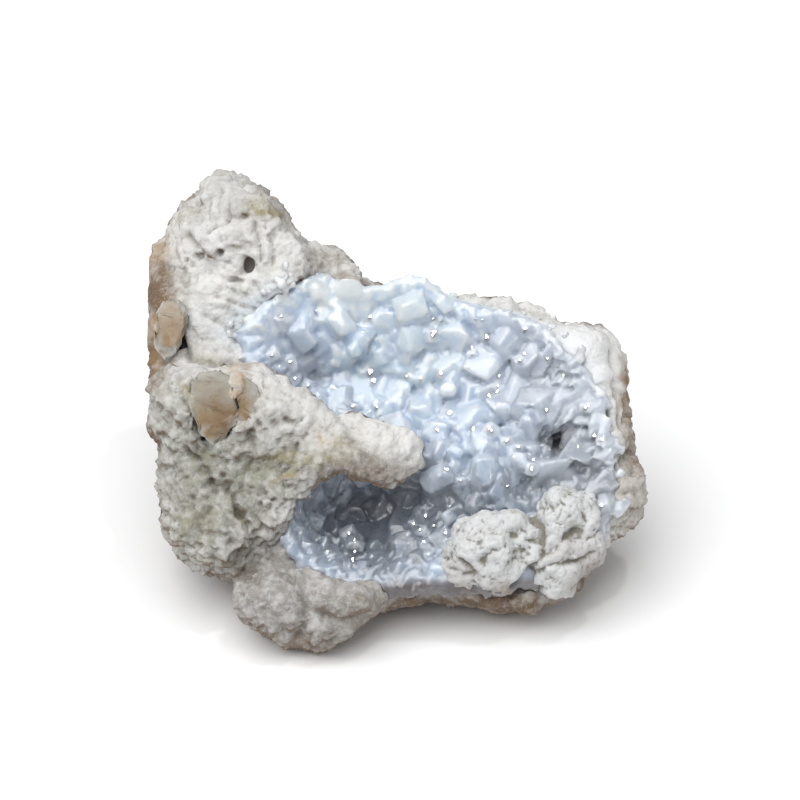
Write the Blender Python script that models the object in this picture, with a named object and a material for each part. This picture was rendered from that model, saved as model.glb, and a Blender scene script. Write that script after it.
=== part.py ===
"""Rough celestite geode: a lump of pale host rock whose open hollow is lined with blue crystals.

The rock is laid out in a face frame, as seen by someone who looks straight into the hollow: x runs
across to the right, y runs up the face and z comes out of it. The empty "geode" leans that frame
back, so that the hollow looks forward and up, and the rock rests on the flat spots under it.
In the world +Z is up, the hollow opens towards -Y, and the origin is on the ground under the
middle of the rock. Lengths below are in millimetres.
"""

import math
import random

import bmesh
import bpy
from mathutils import Matrix, Vector, noise

MM = 0.001

# Stance: the angle above the horizon that the hollow looks at, and how far below the middle of the
# face frame the ground cuts the rock flat.
FACE_ELEVATION_DEG = 35.0
GROUND_DROP = 31.5

# Host rock: its outline seen face on, from the top of the peak, anticlockwise.
BODY_OUTLINE = (
    (-29.0, 37.2), (-31.4, 36.3), (-33.4, 32.4), (-37.2, 28.8), (-39.8, 24.6), (-41.0, 19.6),
    (-40.4, 9.5), (-40.0, 1.0), (-39.6, -4.0), (-38.2, -10.9), (-37.3, -17.0),
    (-36.8, -23.0), (-33.0, -26.0), (-28.0, -28.5), (-20.0, -31.5), (-12.0, -32.5),
    (-5.0, -33.0), (1.6, -33.2), (7.4, -31.4), (11.0, -31.8), (16.3, -34.2),
    (20.6, -33.9), (24.8, -32.4), (28.2, -29.6), (33.5, -23.4), (39.3, -16.0),
    (38.4, -10.5), (37.2, -3.5), (36.5, 4.5), (35.8, 9.0), (33.4, 11.3),
    (28.5, 12.4), (25.3, 12.4), (22.8, 14.7), (15.5, 15.9), (6.0, 16.9),
    (-2.5, 18.2), (-6.6, 19.8), (-7.6, 23.0), (-10.5, 24.2), (-15.4, 24.9),
    (-17.6, 28.0), (-20.2, 32.4), (-24.0, 35.4),
)
BODY_CENTRE = (-2.0, -3.0)
# Sections of each lump: distance behind its face, how far the outline has drawn in there, and how
# far it sits lower.
BODY_SECTIONS = (
    (0.0, 8.0, 0.0), (1.6, 4.0, 0.0), (4.0, 1.4, 0.0), (7.5, 0.0, 0.0), (11.0, 0.0, 0.0),
    (14.5, 2.5, 1.5), (18.0, 6.0, 4.5), (22.0, 9.5, 7.5), (26.0, 13.5, 10.0), (28.5, 19.0, 11.0),
)
FACE_HEIGHT = -1.0
FACE_SLOPE = -0.22  # the face leans back towards its top

# The shelf of rock that stands in front of the hollow's lower left, and ends in a blunt tongue.
SHELF_OUTLINE = (
    (-39.0, 3.5), (-36.0, 5.0), (-32.0, 5.4), (-27.0, 5.4), (-21.5, 5.4), (-17.5, 3.6),
    (-14.5, 1.2), (-11.5, -1.2), (-7.5, -2.4), (-3.0, -2.6), (0.6, -4.2), (3.4, -6.6),
    (4.2, -9.4), (2.8, -12.0), (-0.5, -13.6), (-5.0, -12.6), (-9.0, -11.0), (-12.0, -12.6),
    (-15.0, -16.0), (-18.0, -20.4), (-22.0, -24.2), (-27.0, -26.8), (-33.0, -25.4),
    (-36.4, -22.8), (-37.2, -17.0), (-37.8, -10.9), (-39.2, -4.0),
)
SHELF_CENTRE = (-22.0, -8.0)
SHELF_HEIGHT = 0.8
SHELF_SECTIONS = (
    (-7.0, 6.0, 0.0), (-6.2, 3.0, 0.0), (-4.2, 0.8, 0.0), (-1.4, 0.0, 0.0), (1.2, 1.0, 0.0),
    (3.4, 3.4, 0.0),
)

# The foot that juts out under the hollow and carries the front of the rock.
FOOT_OUTLINE = (
    (-26.6, -29.6), (-25.0, -34.2), (-21.0, -36.9), (-17.3, -38.6), (-13.5, -39.8),
    (-9.4, -38.2), (-8.0, -36.0), (-4.4, -33.8), (-2.2, -31.6), (-4.4, -28.6),
    (-9.0, -27.2), (-15.0, -26.8), (-21.0, -27.4),
)
FOOT_CENTRE = (-15.5, -32.5)
FOOT_HEIGHT = 5.0
FOOT_SECTIONS = (
    (-4.6, 4.0, 0.0), (-3.4, 1.6, 0.0), (-1.0, 0.3, 0.0), (3.0, 0.0, 0.0), (9.0, 1.0, 0.0),
    (14.0, 3.5, 0.0),
)

# Swells and dents of the rock's face: middle, half widths and rise.
FACE_FORMS = (
    ((-24.0, 27.0), (6.0, 9.0), 3.0),
    ((-13.0, 21.0), (5.0, 3.5), -4.0),
    ((-34.0, 20.0), (4.0, 10.0), -3.0),
    ((30.0, 8.0), (6.0, 5.0), 1.8),
    ((36.0, -14.0), (5.0, 6.0), 1.6),
    ((-28.0, 8.5), (8.0, 3.5), -2.6),
    ((15.0, 16.0), (14.0, 3.0), -2.5),
    # the shelf's face: a swell above, lower corners that fall away
    ((-26.0, -2.0), (9.0, 4.0), 1.0),
    ((-35.0, -18.0), (5.0, 9.0), -2.6),
    ((-20.0, -22.0), (8.0, 5.0), -2.4),
    ((-6.0, -8.0), (9.0, 4.0), -1.0),
)
# Open pits in the peak: middle, width, height and how far the pit is turned.
PITS = (
    ((-24.4, 21.6), 2.0, 3.0, 12.0),
    ((-28.3, 23.2), 1.3, 1.3, 0.0),
    ((-27.6, 29.2), 1.2, 2.8, -8.0),
    ((-24.6, 28.8), 2.2, 1.5, 20.0),
    ((-32.0, 22.8), 2.2, 1.3, -25.0),
)
PIT_DEPTH = 3.0
PIT_MOUTH, PIT_BOTTOM = 1.5, 0.45  # width over and under the rock's surface, as shares
PIT_SIDES = 6

# The hollow: the edge of its crystal lining seen face on, anticlockwise from its left tip.
HOLLOW_OUTLINE = (
    (-25.3, 10.3), (-23.8, 5.5), (-20.6, 0.8), (-18.2, -4.8), (-18.2, -11.0), (-17.4, -17.4),
    (-17.7, -23.0), (-14.6, -26.6), (-7.9, -29.3), (0.0, -30.2), (7.9, -29.6), (15.8, -30.0),
    (25.3, -27.7), (31.0, -22.2), (33.2, -15.8), (33.6, -6.3), (32.0, 0.0), (29.0, 4.6),
    (25.4, 8.0), (22.4, 11.4), (18.6, 13.2), (11.9, 14.4), (6.6, 16.2), (3.6, 18.8),
    (0.2, 18.8), (-3.0, 17.2), (-7.9, 17.6), (-13.5, 20.2), (-18.2, 17.7), (-22.5, 13.5),
)
HOLLOW_CENTRE = (4.0, -4.0)
LINING_DEPTH = 3.2
# Dips of its wall below the face: middle, half widths and depth.
HOLLOW_DIPS = (
    ((2.0, 3.0), (24.0, 12.0), 9.5),
    ((-13.5, 3.5), (7.0, 6.0), 3.0),
    ((-5.0, -18.5), (11.0, 7.5), 13.0),
    ((25.5, -6.5), (4.5, 3.0), 3.5),
    ((1.0, 18.5), (16.0, 4.0), 3.0),
    ((19.0, -20.0), (14.0, 8.0), 3.5),
)
HOLLOW_ROOM = 9.0  # height of the space kept for the lining, over the hollow's wall
FLOOR_STEP = 5.0
GAP = 0.35
BLOCK_HALF = (45.0, 35.0)
FAR = 90.0  # further than any part of the rock
LEAST_SHARE = 0.05  # what is left of an outline that is drawn in as far as it goes

# Crystals of the lining.
CRYSTAL_SEED = 11
CRYSTAL_COUNT = 96
CRYSTAL_TRIES = 20000
CRYSTAL_SPAN = ((-25.0, 35.0), (-30.0, 20.0))  # where they are tried, across and up the face
CRYSTAL_WIDTH = 3.4
WIDTH_SWELL = 2.4  # how much wider they get where the lining is coarse
WIDTH_RANGE = (0.6, 1.2)
THICKNESS_RANGE = (0.6, 0.95)  # share of a crystal's width
LENGTH_RANGE = (0.65, 1.05)  # share of a crystal's width, on top of the least length
LEAST_LENGTH = 1.0
RIDGE_RANGE = (0.1, 0.6)  # length of the roof's ridge, as a share of the width
COARSE_SIZE = 9.0
SPACING_SHARE = 0.76  # least distance between two, as a share of their mean width
LEAN_UP = 4.0
LEAN_SPREAD = 18.0
CRYSTAL_ROOT = 3.0
SHOULDER_SHARE = 0.58
SHOULDER_WIDTH = 0.92
LINING_THICKNESS = 1.5
LINING_BACK = 2.0  # how far the sheet reaches behind the wall before it is cut to fit
LINING_TRIANGLES = 5200
# The largest ones: middle, width, thickness, length, lean across and lean up, in degrees.
LARGE_CRYSTALS = (
    ((2.0, 13.0), 7.0, 5.0, 7.2, -4.0, 30.0),
    ((9.0, 9.5), 5.4, 4.4, 6.4, 12.0, 22.0),
    ((14.5, 6.5), 6.4, 5.0, 6.6, -14.0, -12.0),
    ((20.0, 7.0), 5.6, 3.4, 6.6, 18.0, -8.0),
    ((23.5, 1.5), 5.4, 3.0, 7.2, -22.0, -28.0),
    ((28.0, 0.5), 4.6, 2.4, 7.4, -26.0, -34.0),
    ((31.0, -2.5), 4.2, 2.2, 6.8, -24.0, -34.0),
    ((29.8, -6.4), 3.2, 2.4, 7.6, -42.0, -34.0),
    ((32.0, -13.0), 2.6, 2.0, 5.0, -38.0, -30.0),
    ((6.4, -13.8), 5.8, 4.4, 7.6, 10.0, 22.0),
    ((2.0, -17.6), 5.4, 3.6, 7.8, 12.0, -48.0),
    ((8.0, -22.0), 4.2, 3.4, 5.4, -20.0, -26.0),
    ((14.0, -10.5), 5.0, 4.0, 6.2, -10.0, -18.0),
    ((22.5, -12.5), 5.6, 3.4, 6.6, 22.0, 24.0),
    ((-10.5, 12.0), 4.6, 3.8, 5.2, 14.0, 20.0),
    ((-7.0, -25.5), 4.2, 3.0, 5.0, -16.0, 22.0),
)

# The white botryoidal nodule on the lining: lobe middles, radii and height over the face frame.
NODULE_LOBES = (
    ((13.0, -23.6), 6.6, 3.4),
    ((10.0, -26.0), 4.6, 3.0),
    ((18.2, -20.8), 4.2, 3.6),
    ((16.4, -26.8), 4.4, 3.4),
    ((26.4, -18.4), 5.6, 3.0),
    ((23.6, -24.2), 5.0, 3.6),
    ((28.8, -22.8), 4.4, 2.6),
    ((24.8, -27.8), 4.0, 3.0),
)
NODULE_BUDS = 9
BUD_SHARE = 0.42
BUD_RANGE = (0.8, 1.2)
BUD_DROP = 1.6  # how far down the lobe the buds go, as a share of its radius
BALL_SUBDIVISIONS = 3
CORE_SHARE = 0.8
NODULE_SEED = 5
NODULE_VOXEL = 0.6
NODULE_TRIANGLES = 900
SOCKET_TRIANGLES = 400
NODULE_GAP = 0.8

# Iron-stained crystals set in the rock's left face: name, middle, width, length, turn, how proud.
AMBER_CRYSTALS = (
    ("amber_crystal_front", (-29.2, -1.6), 5.0, 8.6, 3.0, 1.1),
    ("amber_crystal_side", (-24.0, -0.2), 2.6, 5.6, -12.0, 0.9),
    ("amber_crystal_upper", (-36.4, 11.4), 3.0, 7.4, -14.0, 0.8),
)
AMBER_THICKNESS = 4.2
# Its profile: height over its middle as a share of half its thickness, and what is left there of
# its width and length. It ends below in a blunt point.
AMBER_PROFILE = ((1.0, 0.68, 0.86), (0.2, 1.0, 1.0), (-1.0, 0.9, 0.94))
AMBER_POINT = 1.12

# Roughness of the rock: size of its broad swells, its lumps and its finest grain, and how high
# each stands on the front and, on top of that, on the back.
BROAD_SIZE, BROAD_FRONT, BROAD_BACK = 12.0, 0.6, 3.4
LUMP_SIZE, LUMP_FRONT, LUMP_BACK = 8.0, 2.6, 1.6
LUMP_LEVEL = 0.42
GRAIN_SIZE, GRAIN_HEIGHT = 3.0, 0.5
GRAIN_OFFSET = (2.0, 9.0, 4.0)
BACK_DEPTH = 9.0  # how far behind the face the back begins, and over how far it sets in
EDGE_NORMAL = 0.6
EDGE_CALM = 0.6  # how much less rough the rock is where its outline runs
ROCK_VOXEL = 0.9
ROCK_TRIANGLES = 3100
ROCK_COLOUR = (0.72, 0.69, 0.65)
CELESTITE_COLOUR = (0.62, 0.72, 0.82)
NODULE_COLOUR = (0.78, 0.78, 0.74)
AMBER_COLOUR = (0.62, 0.45, 0.25)
ROCK_ROUGHNESS, CELESTITE_ROUGHNESS = 0.85, 0.15
NODULE_ROUGHNESS, AMBER_ROUGHNESS = 0.7, 0.4


def clear_scene():
    """Remove every object of the startup scene."""
    for obj in list(bpy.data.objects):
        bpy.data.objects.remove(obj)


def material(name, colour, roughness):
    """A plain material of one colour."""
    made = bpy.data.materials.new(name)
    made.use_nodes = True
    shader = made.node_tree.nodes["Principled BSDF"]
    shader.inputs["Base Color"].default_value = (*colour, 1.0)
    shader.inputs["Roughness"].default_value = roughness
    shader.inputs["Metallic"].default_value = 0.0
    return made


def face_frame():
    """The empty that leans the face frame back and lifts it onto the ground."""
    empty = bpy.data.objects.new("geode", None)
    bpy.context.scene.collection.objects.link(empty)
    empty.rotation_euler = (math.radians(90.0 - FACE_ELEVATION_DEG), 0.0, 0.0)
    empty.location = (0.0, 0.0, GROUND_DROP * MM)
    return empty


def new_object(name, shells, parent):
    """One object from shells of (points in mm, faces), with every face turned outwards."""
    mesh = bpy.data.meshes.new(name)
    points, faces = [], []
    for shell_points, shell_faces in shells:
        start = len(points)
        points += [Vector(point) * MM for point in shell_points]
        faces += [[start + index for index in face] for face in shell_faces]
    mesh.from_pydata(points, [], faces)
    edit = bmesh.new()
    edit.from_mesh(mesh)
    bmesh.ops.recalc_face_normals(edit, faces=edit.faces)
    edit.to_mesh(mesh)
    edit.free()
    obj = bpy.data.objects.new(name, mesh)
    bpy.context.scene.collection.objects.link(obj)
    obj.parent = parent
    return obj


def helper(obj):
    """Mark an object as a cutter or guide, which is no part of the geode."""
    obj.hide_render = True
    obj.display_type = "WIRE"
    return obj


def settle(obj):
    """Replace an object's mesh by what its modifiers make of it."""
    bpy.context.view_layer.update()
    graph = bpy.context.evaluated_depsgraph_get()
    made = bpy.data.meshes.new_from_object(obj.evaluated_get(graph))
    obj.modifiers.clear()
    obj.data = made
    return obj


def boolean(obj, operation, other):
    """Cut an object with another one, or join it with every object of a collection."""
    modifier = obj.modifiers.new(f"{operation.lower()}_{other.name}", "BOOLEAN")
    modifier.operation = operation
    modifier.solver = "EXACT"
    if isinstance(other, bpy.types.Collection):
        modifier.operand_type = "COLLECTION"
        modifier.collection = other
    else:
        modifier.object = other
    return settle(obj)


def add_shells(obj, others):
    """Copy the shells of other objects into an object's mesh, and drop those objects."""
    edit = bmesh.new()
    edit.from_mesh(obj.data)
    for other in others:
        edit.from_mesh(other.data)
        bpy.data.objects.remove(other)
    edit.to_mesh(obj.data)
    edit.free()
    return obj


def voxel_union(obj, voxel):
    """Melt overlapping shells into one closed skin."""
    modifier = obj.modifiers.new("union", "REMESH")
    modifier.mode = "VOXEL"
    modifier.voxel_size = voxel * MM
    return settle(obj)


def decimate(obj, triangles):
    """Thin a mesh down to about this many triangles."""
    count = sum(len(face.vertices) - 2 for face in obj.data.polygons)
    modifier = obj.modifiers.new("decimate", "DECIMATE")
    modifier.ratio = min(1.0, triangles / count)
    modifier.use_collapse_triangulate = True
    return settle(obj)


def keep_largest(obj):
    """Drop every loose shell but the one with the most faces."""
    edit = bmesh.new()
    edit.from_mesh(obj.data)
    left = set(edit.faces)
    shells = []
    while left:
        grown = [left.pop()]
        for face in grown:
            for edge in face.edges:
                for beside in edge.link_faces:
                    if beside in left:
                        left.remove(beside)
                        grown.append(beside)
        shells.append(grown)
    shells.sort(key=len)
    spare = [face for shell in shells[:-1] for face in shell]
    bmesh.ops.delete(edit, geom=spare, context="FACES")
    edit.to_mesh(obj.data)
    edit.free()
    return obj


def hull(points):
    """The convex hull of a few points, as (points, faces)."""
    edit = bmesh.new()
    for point in points:
        edit.verts.new(point)
    made = bmesh.ops.convex_hull(edit, input=edit.verts)
    unused = [item for item in made["geom_interior"] if isinstance(item, bmesh.types.BMVert)]
    bmesh.ops.delete(edit, geom=unused, context="VERTS")
    edit.verts.index_update()
    shell = (
        [vert.co.copy() for vert in edit.verts],
        [[vert.index for vert in face.verts] for face in edit.faces],
    )
    edit.free()
    return shell


def drawn_in(point, centre, inset):
    """An outline point moved towards the middle by the inset."""
    away = Vector(point) - Vector(centre)
    return Vector(centre) + away * max(LEAST_SHARE, 1.0 - inset / away.length)


def loft(outline, centre, sections, height_at):
    """A closed shell through copies of the outline, each drawn in, lowered and set back."""
    rings = []
    for behind, inset, lower in sections:
        ring = [drawn_in(point, centre, inset) for point in outline]
        rings.append([(x, y - lower, height_at(x, y) - behind) for x, y in ring])
    points = [point for ring in rings for point in ring]
    size = len(outline)
    faces = []
    for level in range(len(rings) - 1):
        low, high = level * size, (level + 1) * size
        for index in range(size):
            beside = (index + 1) % size
            faces.append((low + index, low + beside, high + beside, high + index))
    for level in (0, len(rings) - 1):
        middle = len(points)
        behind, _, lower = sections[level]
        points.append((centre[0], centre[1] - lower, height_at(*centre) - behind))
        start = level * size
        for index in range(size):
            faces.append((start + index, start + (index + 1) % size, middle))
    return points, faces


def bump(point, middle, half_widths):
    """A smooth bell over a middle, 1 at its top."""
    across = (point[0] - middle[0]) / half_widths[0]
    up = (point[1] - middle[1]) / half_widths[1]
    return math.exp(-across * across - up * up)


def face_height(x, y):
    """Height of the rock's plain face over the face frame."""
    return FACE_HEIGHT + FACE_SLOPE * y


def forms(x, y):
    """Rise of the swells and dents at a place on the face."""
    return sum(rise * bump((x, y), middle, widths) for middle, widths, rise in FACE_FORMS)


def hollow_wall(x, y):
    """Height of the hollow's rock wall, under its crystal lining."""
    dips = sum(depth * bump((x, y), middle, widths) for middle, widths, depth in HOLLOW_DIPS)
    return face_height(x, y) - LINING_DEPTH - dips


def inside(point, outline):
    """Whether a point of the face lies inside an outline."""
    found = False
    x, y = point
    for (ax, ay), (bx, by) in zip(outline, outline[1:] + outline[:1]):
        if (ay > y) != (by > y) and x < ax + (bx - ax) * (y - ay) / (by - ay):
            found = not found
    return found


def prism(outline, low, high):
    """The outline pushed straight through the face, as a closed shell."""
    size = len(outline)
    points = [(x, y, low) for x, y in outline] + [(x, y, high) for x, y in outline]
    faces = [tuple(range(size))[::-1], tuple(range(size, 2 * size))]
    for index in range(size):
        beside = (index + 1) % size
        faces.append((index, beside, size + beside, size + index))
    return points, faces


def height_block(low_at, high_at):
    """A block under the whole face, whose floor and roof follow two height rules."""
    half_x, half_y = BLOCK_HALF
    columns = round(2 * half_x / FLOOR_STEP)
    rows = round(2 * half_y / FLOOR_STEP)
    places = [
        (-half_x + column * FLOOR_STEP, -half_y + row * FLOOR_STEP)
        for row in range(rows + 1)
        for column in range(columns + 1)
    ]
    points = [(x, y, low_at(x, y)) for x, y in places] + [(x, y, high_at(x, y)) for x, y in places]
    faces = []

    def at(column, row, roof):
        return roof * len(places) + row * (columns + 1) + column

    for roof in (0, 1):
        for row in range(rows):
            for column in range(columns):
                a, b = at(column, row, roof), at(column + 1, row, roof)
                c, d = at(column + 1, row + 1, roof), at(column, row + 1, roof)
                faces += [(a, b, c), (a, c, d)]
    rim = [(column, 0) for column in range(columns)]
    rim += [(columns, row) for row in range(rows)]
    rim += [(column, rows) for column in range(columns, 0, -1)]
    rim += [(0, row) for row in range(rows, 0, -1)]
    for (column, row), (next_column, next_row) in zip(rim, rim[1:] + rim[:1]):
        a, b = at(column, row, 0), at(next_column, next_row, 0)
        c, d = at(next_column, next_row, 1), at(column, row, 1)
        faces += [(a, b, c), (a, c, d)]
    return points, faces


def hollow_space(name, inset, roof_at, parent):
    """The space over the hollow's wall, drawn in from the wall by the inset."""
    outline = [drawn_in(point, HOLLOW_CENTRE, inset) for point in HOLLOW_OUTLINE]
    space = helper(new_object(name, [prism(outline, -FAR, FAR)], parent))
    block = height_block(lambda x, y: hollow_wall(x, y) + inset, roof_at)
    heights = helper(new_object(name + "_heights", [block], parent))
    return boolean(space, "INTERSECT", heights)


def hollowed(obj):
    """Press the front of the rock down to the hollow's wall, inside the lining's outline."""
    for vert in obj.data.vertices:
        x, y, z = vert.co / MM
        if inside((x, y), HOLLOW_OUTLINE):
            vert.co.z = min(z, hollow_wall(x, y)) * MM
    return obj


def weathered(obj):
    """Roughen the rock: broad lumps on its back, finer ledges and lumps all over."""
    for vert, normal in [(v, v.normal.copy()) for v in obj.data.vertices]:
        point = vert.co / MM
        depth = face_height(point.x, point.y) - point.z
        behind = min(1.0, max(0.0, depth / BACK_DEPTH - 1.0))
        broad = noise.noise(point / BROAD_SIZE) * (BROAD_FRONT + BROAD_BACK * behind)
        lump = LUMP_LEVEL - noise.voronoi(point / LUMP_SIZE)[0][0]
        lump *= LUMP_FRONT + LUMP_BACK * behind
        grain = noise.noise(point / GRAIN_SIZE + Vector(GRAIN_OFFSET)) * GRAIN_HEIGHT
        on_edge = max(0.0, 1.0 - abs(normal.z) / EDGE_NORMAL) * (1.0 - behind)
        vert.co += normal * (broad + lump + grain) * (1.0 - EDGE_CALM * on_edge) * MM
    return obj


def top_at(obj, x, y):
    """Height of the foremost point of an object over a place on the face."""
    found, point, _, _ = obj.ray_cast(Vector((x, y, FAR)) * MM, Vector((0.0, 0.0, -1.0)))
    if not found:
        raise ValueError(f"nothing at {x}, {y}")
    return point.z / MM


def pit_cutters(rock, parent):
    """Small tapered plugs that open the pits in the peak."""
    shells = []
    for middle, width, height, turn in PITS:
        across = Matrix.Rotation(math.radians(turn), 2)
        surface = top_at(rock, *middle)
        points = []
        levels = ((surface + PIT_DEPTH, PIT_MOUTH), (surface - PIT_DEPTH, PIT_BOTTOM))
        for z, share in levels:
            for step in range(PIT_SIDES):
                angle = math.tau * step / PIT_SIDES
                flat = Vector((math.cos(angle) * width, math.sin(angle) * height)) * share / 2
                turned = across @ flat
                points.append(Vector((middle[0] + turned.x, middle[1] + turned.y, z)))
        shells.append(hull(points))
    return helper(new_object("pits", shells, parent))


def rock_mass(parent):
    """The host rock before it is fitted round the lining, the nodule and the stained crystals."""
    body_shell = loft(
        BODY_OUTLINE, BODY_CENTRE, BODY_SECTIONS, lambda x, y: face_height(x, y) + forms(x, y)
    )
    rock = voxel_union(new_object("matrix", [body_shell], parent), ROCK_VOXEL)
    hollowed(rock)
    shelf_shell = loft(
        SHELF_OUTLINE, SHELF_CENTRE, SHELF_SECTIONS, lambda x, y: SHELF_HEIGHT + forms(x, y)
    )
    foot_shell = loft(FOOT_OUTLINE, FOOT_CENTRE, FOOT_SECTIONS, lambda x, y: FOOT_HEIGHT)
    lumps = [
        voxel_union(new_object(name, [shell], parent), ROCK_VOXEL)
        for name, shell in (("shelf", shelf_shell), ("foot", foot_shell))
    ]
    voxel_union(add_shells(rock, lumps), ROCK_VOXEL)
    weathered(rock)
    return decimate(rock, ROCK_TRIANGLES)


def ground_block():
    """The block under the ground plane, which cuts the rock flat where it rests."""
    points = [Vector((x, y, z)) for x in (-FAR, FAR) for y in (-FAR, FAR) for z in (-FAR, 0.0)]
    return helper(new_object("ground", [hull(points)], None))


def crystal(width, thickness, length, sides, ridge):
    """Points of one crystal along +z, from its root to its roof-shaped tip."""
    points = []
    reach = 0.5 / math.cos(math.pi / sides)
    for z, share in ((-CRYSTAL_ROOT, 1.0), (length * SHOULDER_SHARE, SHOULDER_WIDTH)):
        for step in range(sides):
            angle = math.tau * (step + 0.5) / sides
            across = math.cos(angle) * width * reach * share
            points.append(Vector((across, math.sin(angle) * thickness * reach * share, z)))
    for side in (-1, 1):
        points.append(Vector((side * width * ridge / 2, 0.0, length)))
    return points


def crystal_plan(draw):
    """Middle, width, thickness, length, leans and sides of every crystal in the lining."""
    plan = [(*entry, 6) for entry in LARGE_CRYSTALS]
    tries = 0
    while len(plan) < CRYSTAL_COUNT and tries < CRYSTAL_TRIES:
        tries += 1
        middle = tuple(draw.uniform(*span) for span in CRYSTAL_SPAN)
        if not inside(middle, HOLLOW_OUTLINE):
            continue
        coarse = 0.5 + 0.5 * noise.noise(Vector((*middle, FAR)) / COARSE_SIZE)
        width = CRYSTAL_WIDTH + WIDTH_SWELL * coarse * draw.uniform(*WIDTH_RANGE)
        near = min(math.dist(middle, other[0]) / (0.5 * (width + other[1])) for other in plan)
        if near < SPACING_SHARE:
            continue
        thickness = width * draw.uniform(*THICKNESS_RANGE)
        length = width * draw.uniform(*LENGTH_RANGE) + LEAST_LENGTH
        across, up = draw.gauss(0, LEAN_SPREAD), draw.gauss(LEAN_UP, LEAN_SPREAD)
        plan.append((middle, width, thickness, length, across, up, 4))
    return plan


def lining(parent):
    """The celestite lining: one crust whose crystals grow from a thin sheet on the hollow's wall."""
    draw = random.Random(CRYSTAL_SEED)
    plan = crystal_plan(draw)
    group = bpy.data.collections.new("crystals")
    bpy.context.scene.collection.children.link(group)
    for number, (middle, width, thickness, length, across, up, sides) in enumerate(plan):
        spin = Matrix.Rotation(draw.uniform(0, math.tau), 3, "Z")
        lean = Matrix.Rotation(math.radians(across), 3, "Y")
        lean @= Matrix.Rotation(math.radians(-up), 3, "X")
        root = Vector((*middle, hollow_wall(*middle) + LINING_THICKNESS / 2))
        shape = crystal(width, thickness, length, sides, draw.uniform(*RIDGE_RANGE))
        points = [root + lean @ spin @ point for point in shape]
        one = helper(new_object(f"crystal_{number:03d}", [hull(points)], parent))
        bpy.context.scene.collection.objects.unlink(one)
        group.objects.link(one)
    sheet = height_block(
        lambda x, y: hollow_wall(x, y) - LINING_BACK,
        lambda x, y: hollow_wall(x, y) + LINING_THICKNESS,
    )
    crust = new_object("celestite_crust", [sheet], parent)
    decimate(boolean(crust, "UNION", group), LINING_TRIANGLES)
    roof = HOLLOW_ROOM - GAP
    room = hollow_space("lining_room", GAP, lambda x, y: hollow_wall(x, y) + roof, parent)
    return boolean(crust, "INTERSECT", room)


def ball(middle, radius):
    """A ball as (points, faces)."""
    edit = bmesh.new()
    place = Matrix.Translation(middle)
    bmesh.ops.create_icosphere(
        edit, subdivisions=BALL_SUBDIVISIONS, radius=radius, matrix=place
    )
    edit.verts.index_update()
    shell = (
        [vert.co.copy() for vert in edit.verts],
        [[vert.index for vert in face.verts] for face in edit.faces],
    )
    edit.free()
    return shell


def nodule(name, grown, triangles, parent):
    """The white nodule: lobes that bud all round, grown outwards by an allowance."""
    draw = random.Random(NODULE_SEED)
    golden = math.pi * (3.0 - math.sqrt(5.0))
    balls = []
    for (x, y), radius, height in NODULE_LOBES:
        middle = Vector((x, y, height))
        balls.append(ball(middle, radius * CORE_SHARE + grown))
        for step in range(NODULE_BUDS):
            up = 1.0 - BUD_DROP * (step + 0.5) / NODULE_BUDS
            flat = math.sqrt(1.0 - up * up)
            angle = golden * step + x
            way = Vector((math.cos(angle) * flat, math.sin(angle) * flat, up))
            bud = radius * BUD_SHARE * draw.uniform(*BUD_RANGE)
            balls.append(ball(middle + way * (radius - bud), bud + grown))
    made = voxel_union(new_object(name, balls, parent), NODULE_VOXEL)
    return decimate(made, triangles)


def amber_shell(place, slope, width, length, turn, grown):
    """A tabular crystal lying in the rock's face, with bevelled ends, grown by an allowance."""
    spin = Matrix.Rotation(math.radians(turn), 3, "Z") @ Matrix.Rotation(slope, 3, "X")
    points = []
    depth = AMBER_THICKNESS / 2 + grown
    for side in (-1, 1):
        for end in (-1, 1):
            for front, across, along in AMBER_PROFILE:
                x = side * (width / 2 * across + grown)
                y = end * (length / 2 * along + grown)
                points.append(place + spin @ Vector((x, y, front * depth)))
    points.append(place + spin @ Vector((0.0, -length / 2 * AMBER_POINT - grown, 0.0)))
    return hull(points)


def amber_crystals(rock, parent):
    """The stained crystals and, for each, the socket that the rock keeps round it."""
    made, sockets = [], []
    for name, middle, width, length, turn, proud in AMBER_CRYSTALS:
        x, y = middle
        low, high = (top_at(rock, x, y + end * length / 3) for end in (-1, 1))
        place = Vector((x, y, (low + high) / 2 + proud - AMBER_THICKNESS / 2))
        slope = math.atan2(high - low, length * 2 / 3)
        made.append(new_object(name, [amber_shell(place, slope, width, length, turn, 0.0)], parent))
        socket = amber_shell(place, slope, width, length, turn, GAP)
        sockets.append(helper(new_object(name + "_socket", [socket], parent)))
    return made, sockets


def centred(empty, objects):
    """Slide the whole geode over the ground until its box is centred on the origin."""
    bpy.context.view_layer.update()
    corners = [obj.matrix_world @ vert.co for obj in objects for vert in obj.data.vertices]
    for axis in (0, 1):
        low = min(corner[axis] for corner in corners)
        high = max(corner[axis] for corner in corners)
        empty.location[axis] -= (low + high) / 2


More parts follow.
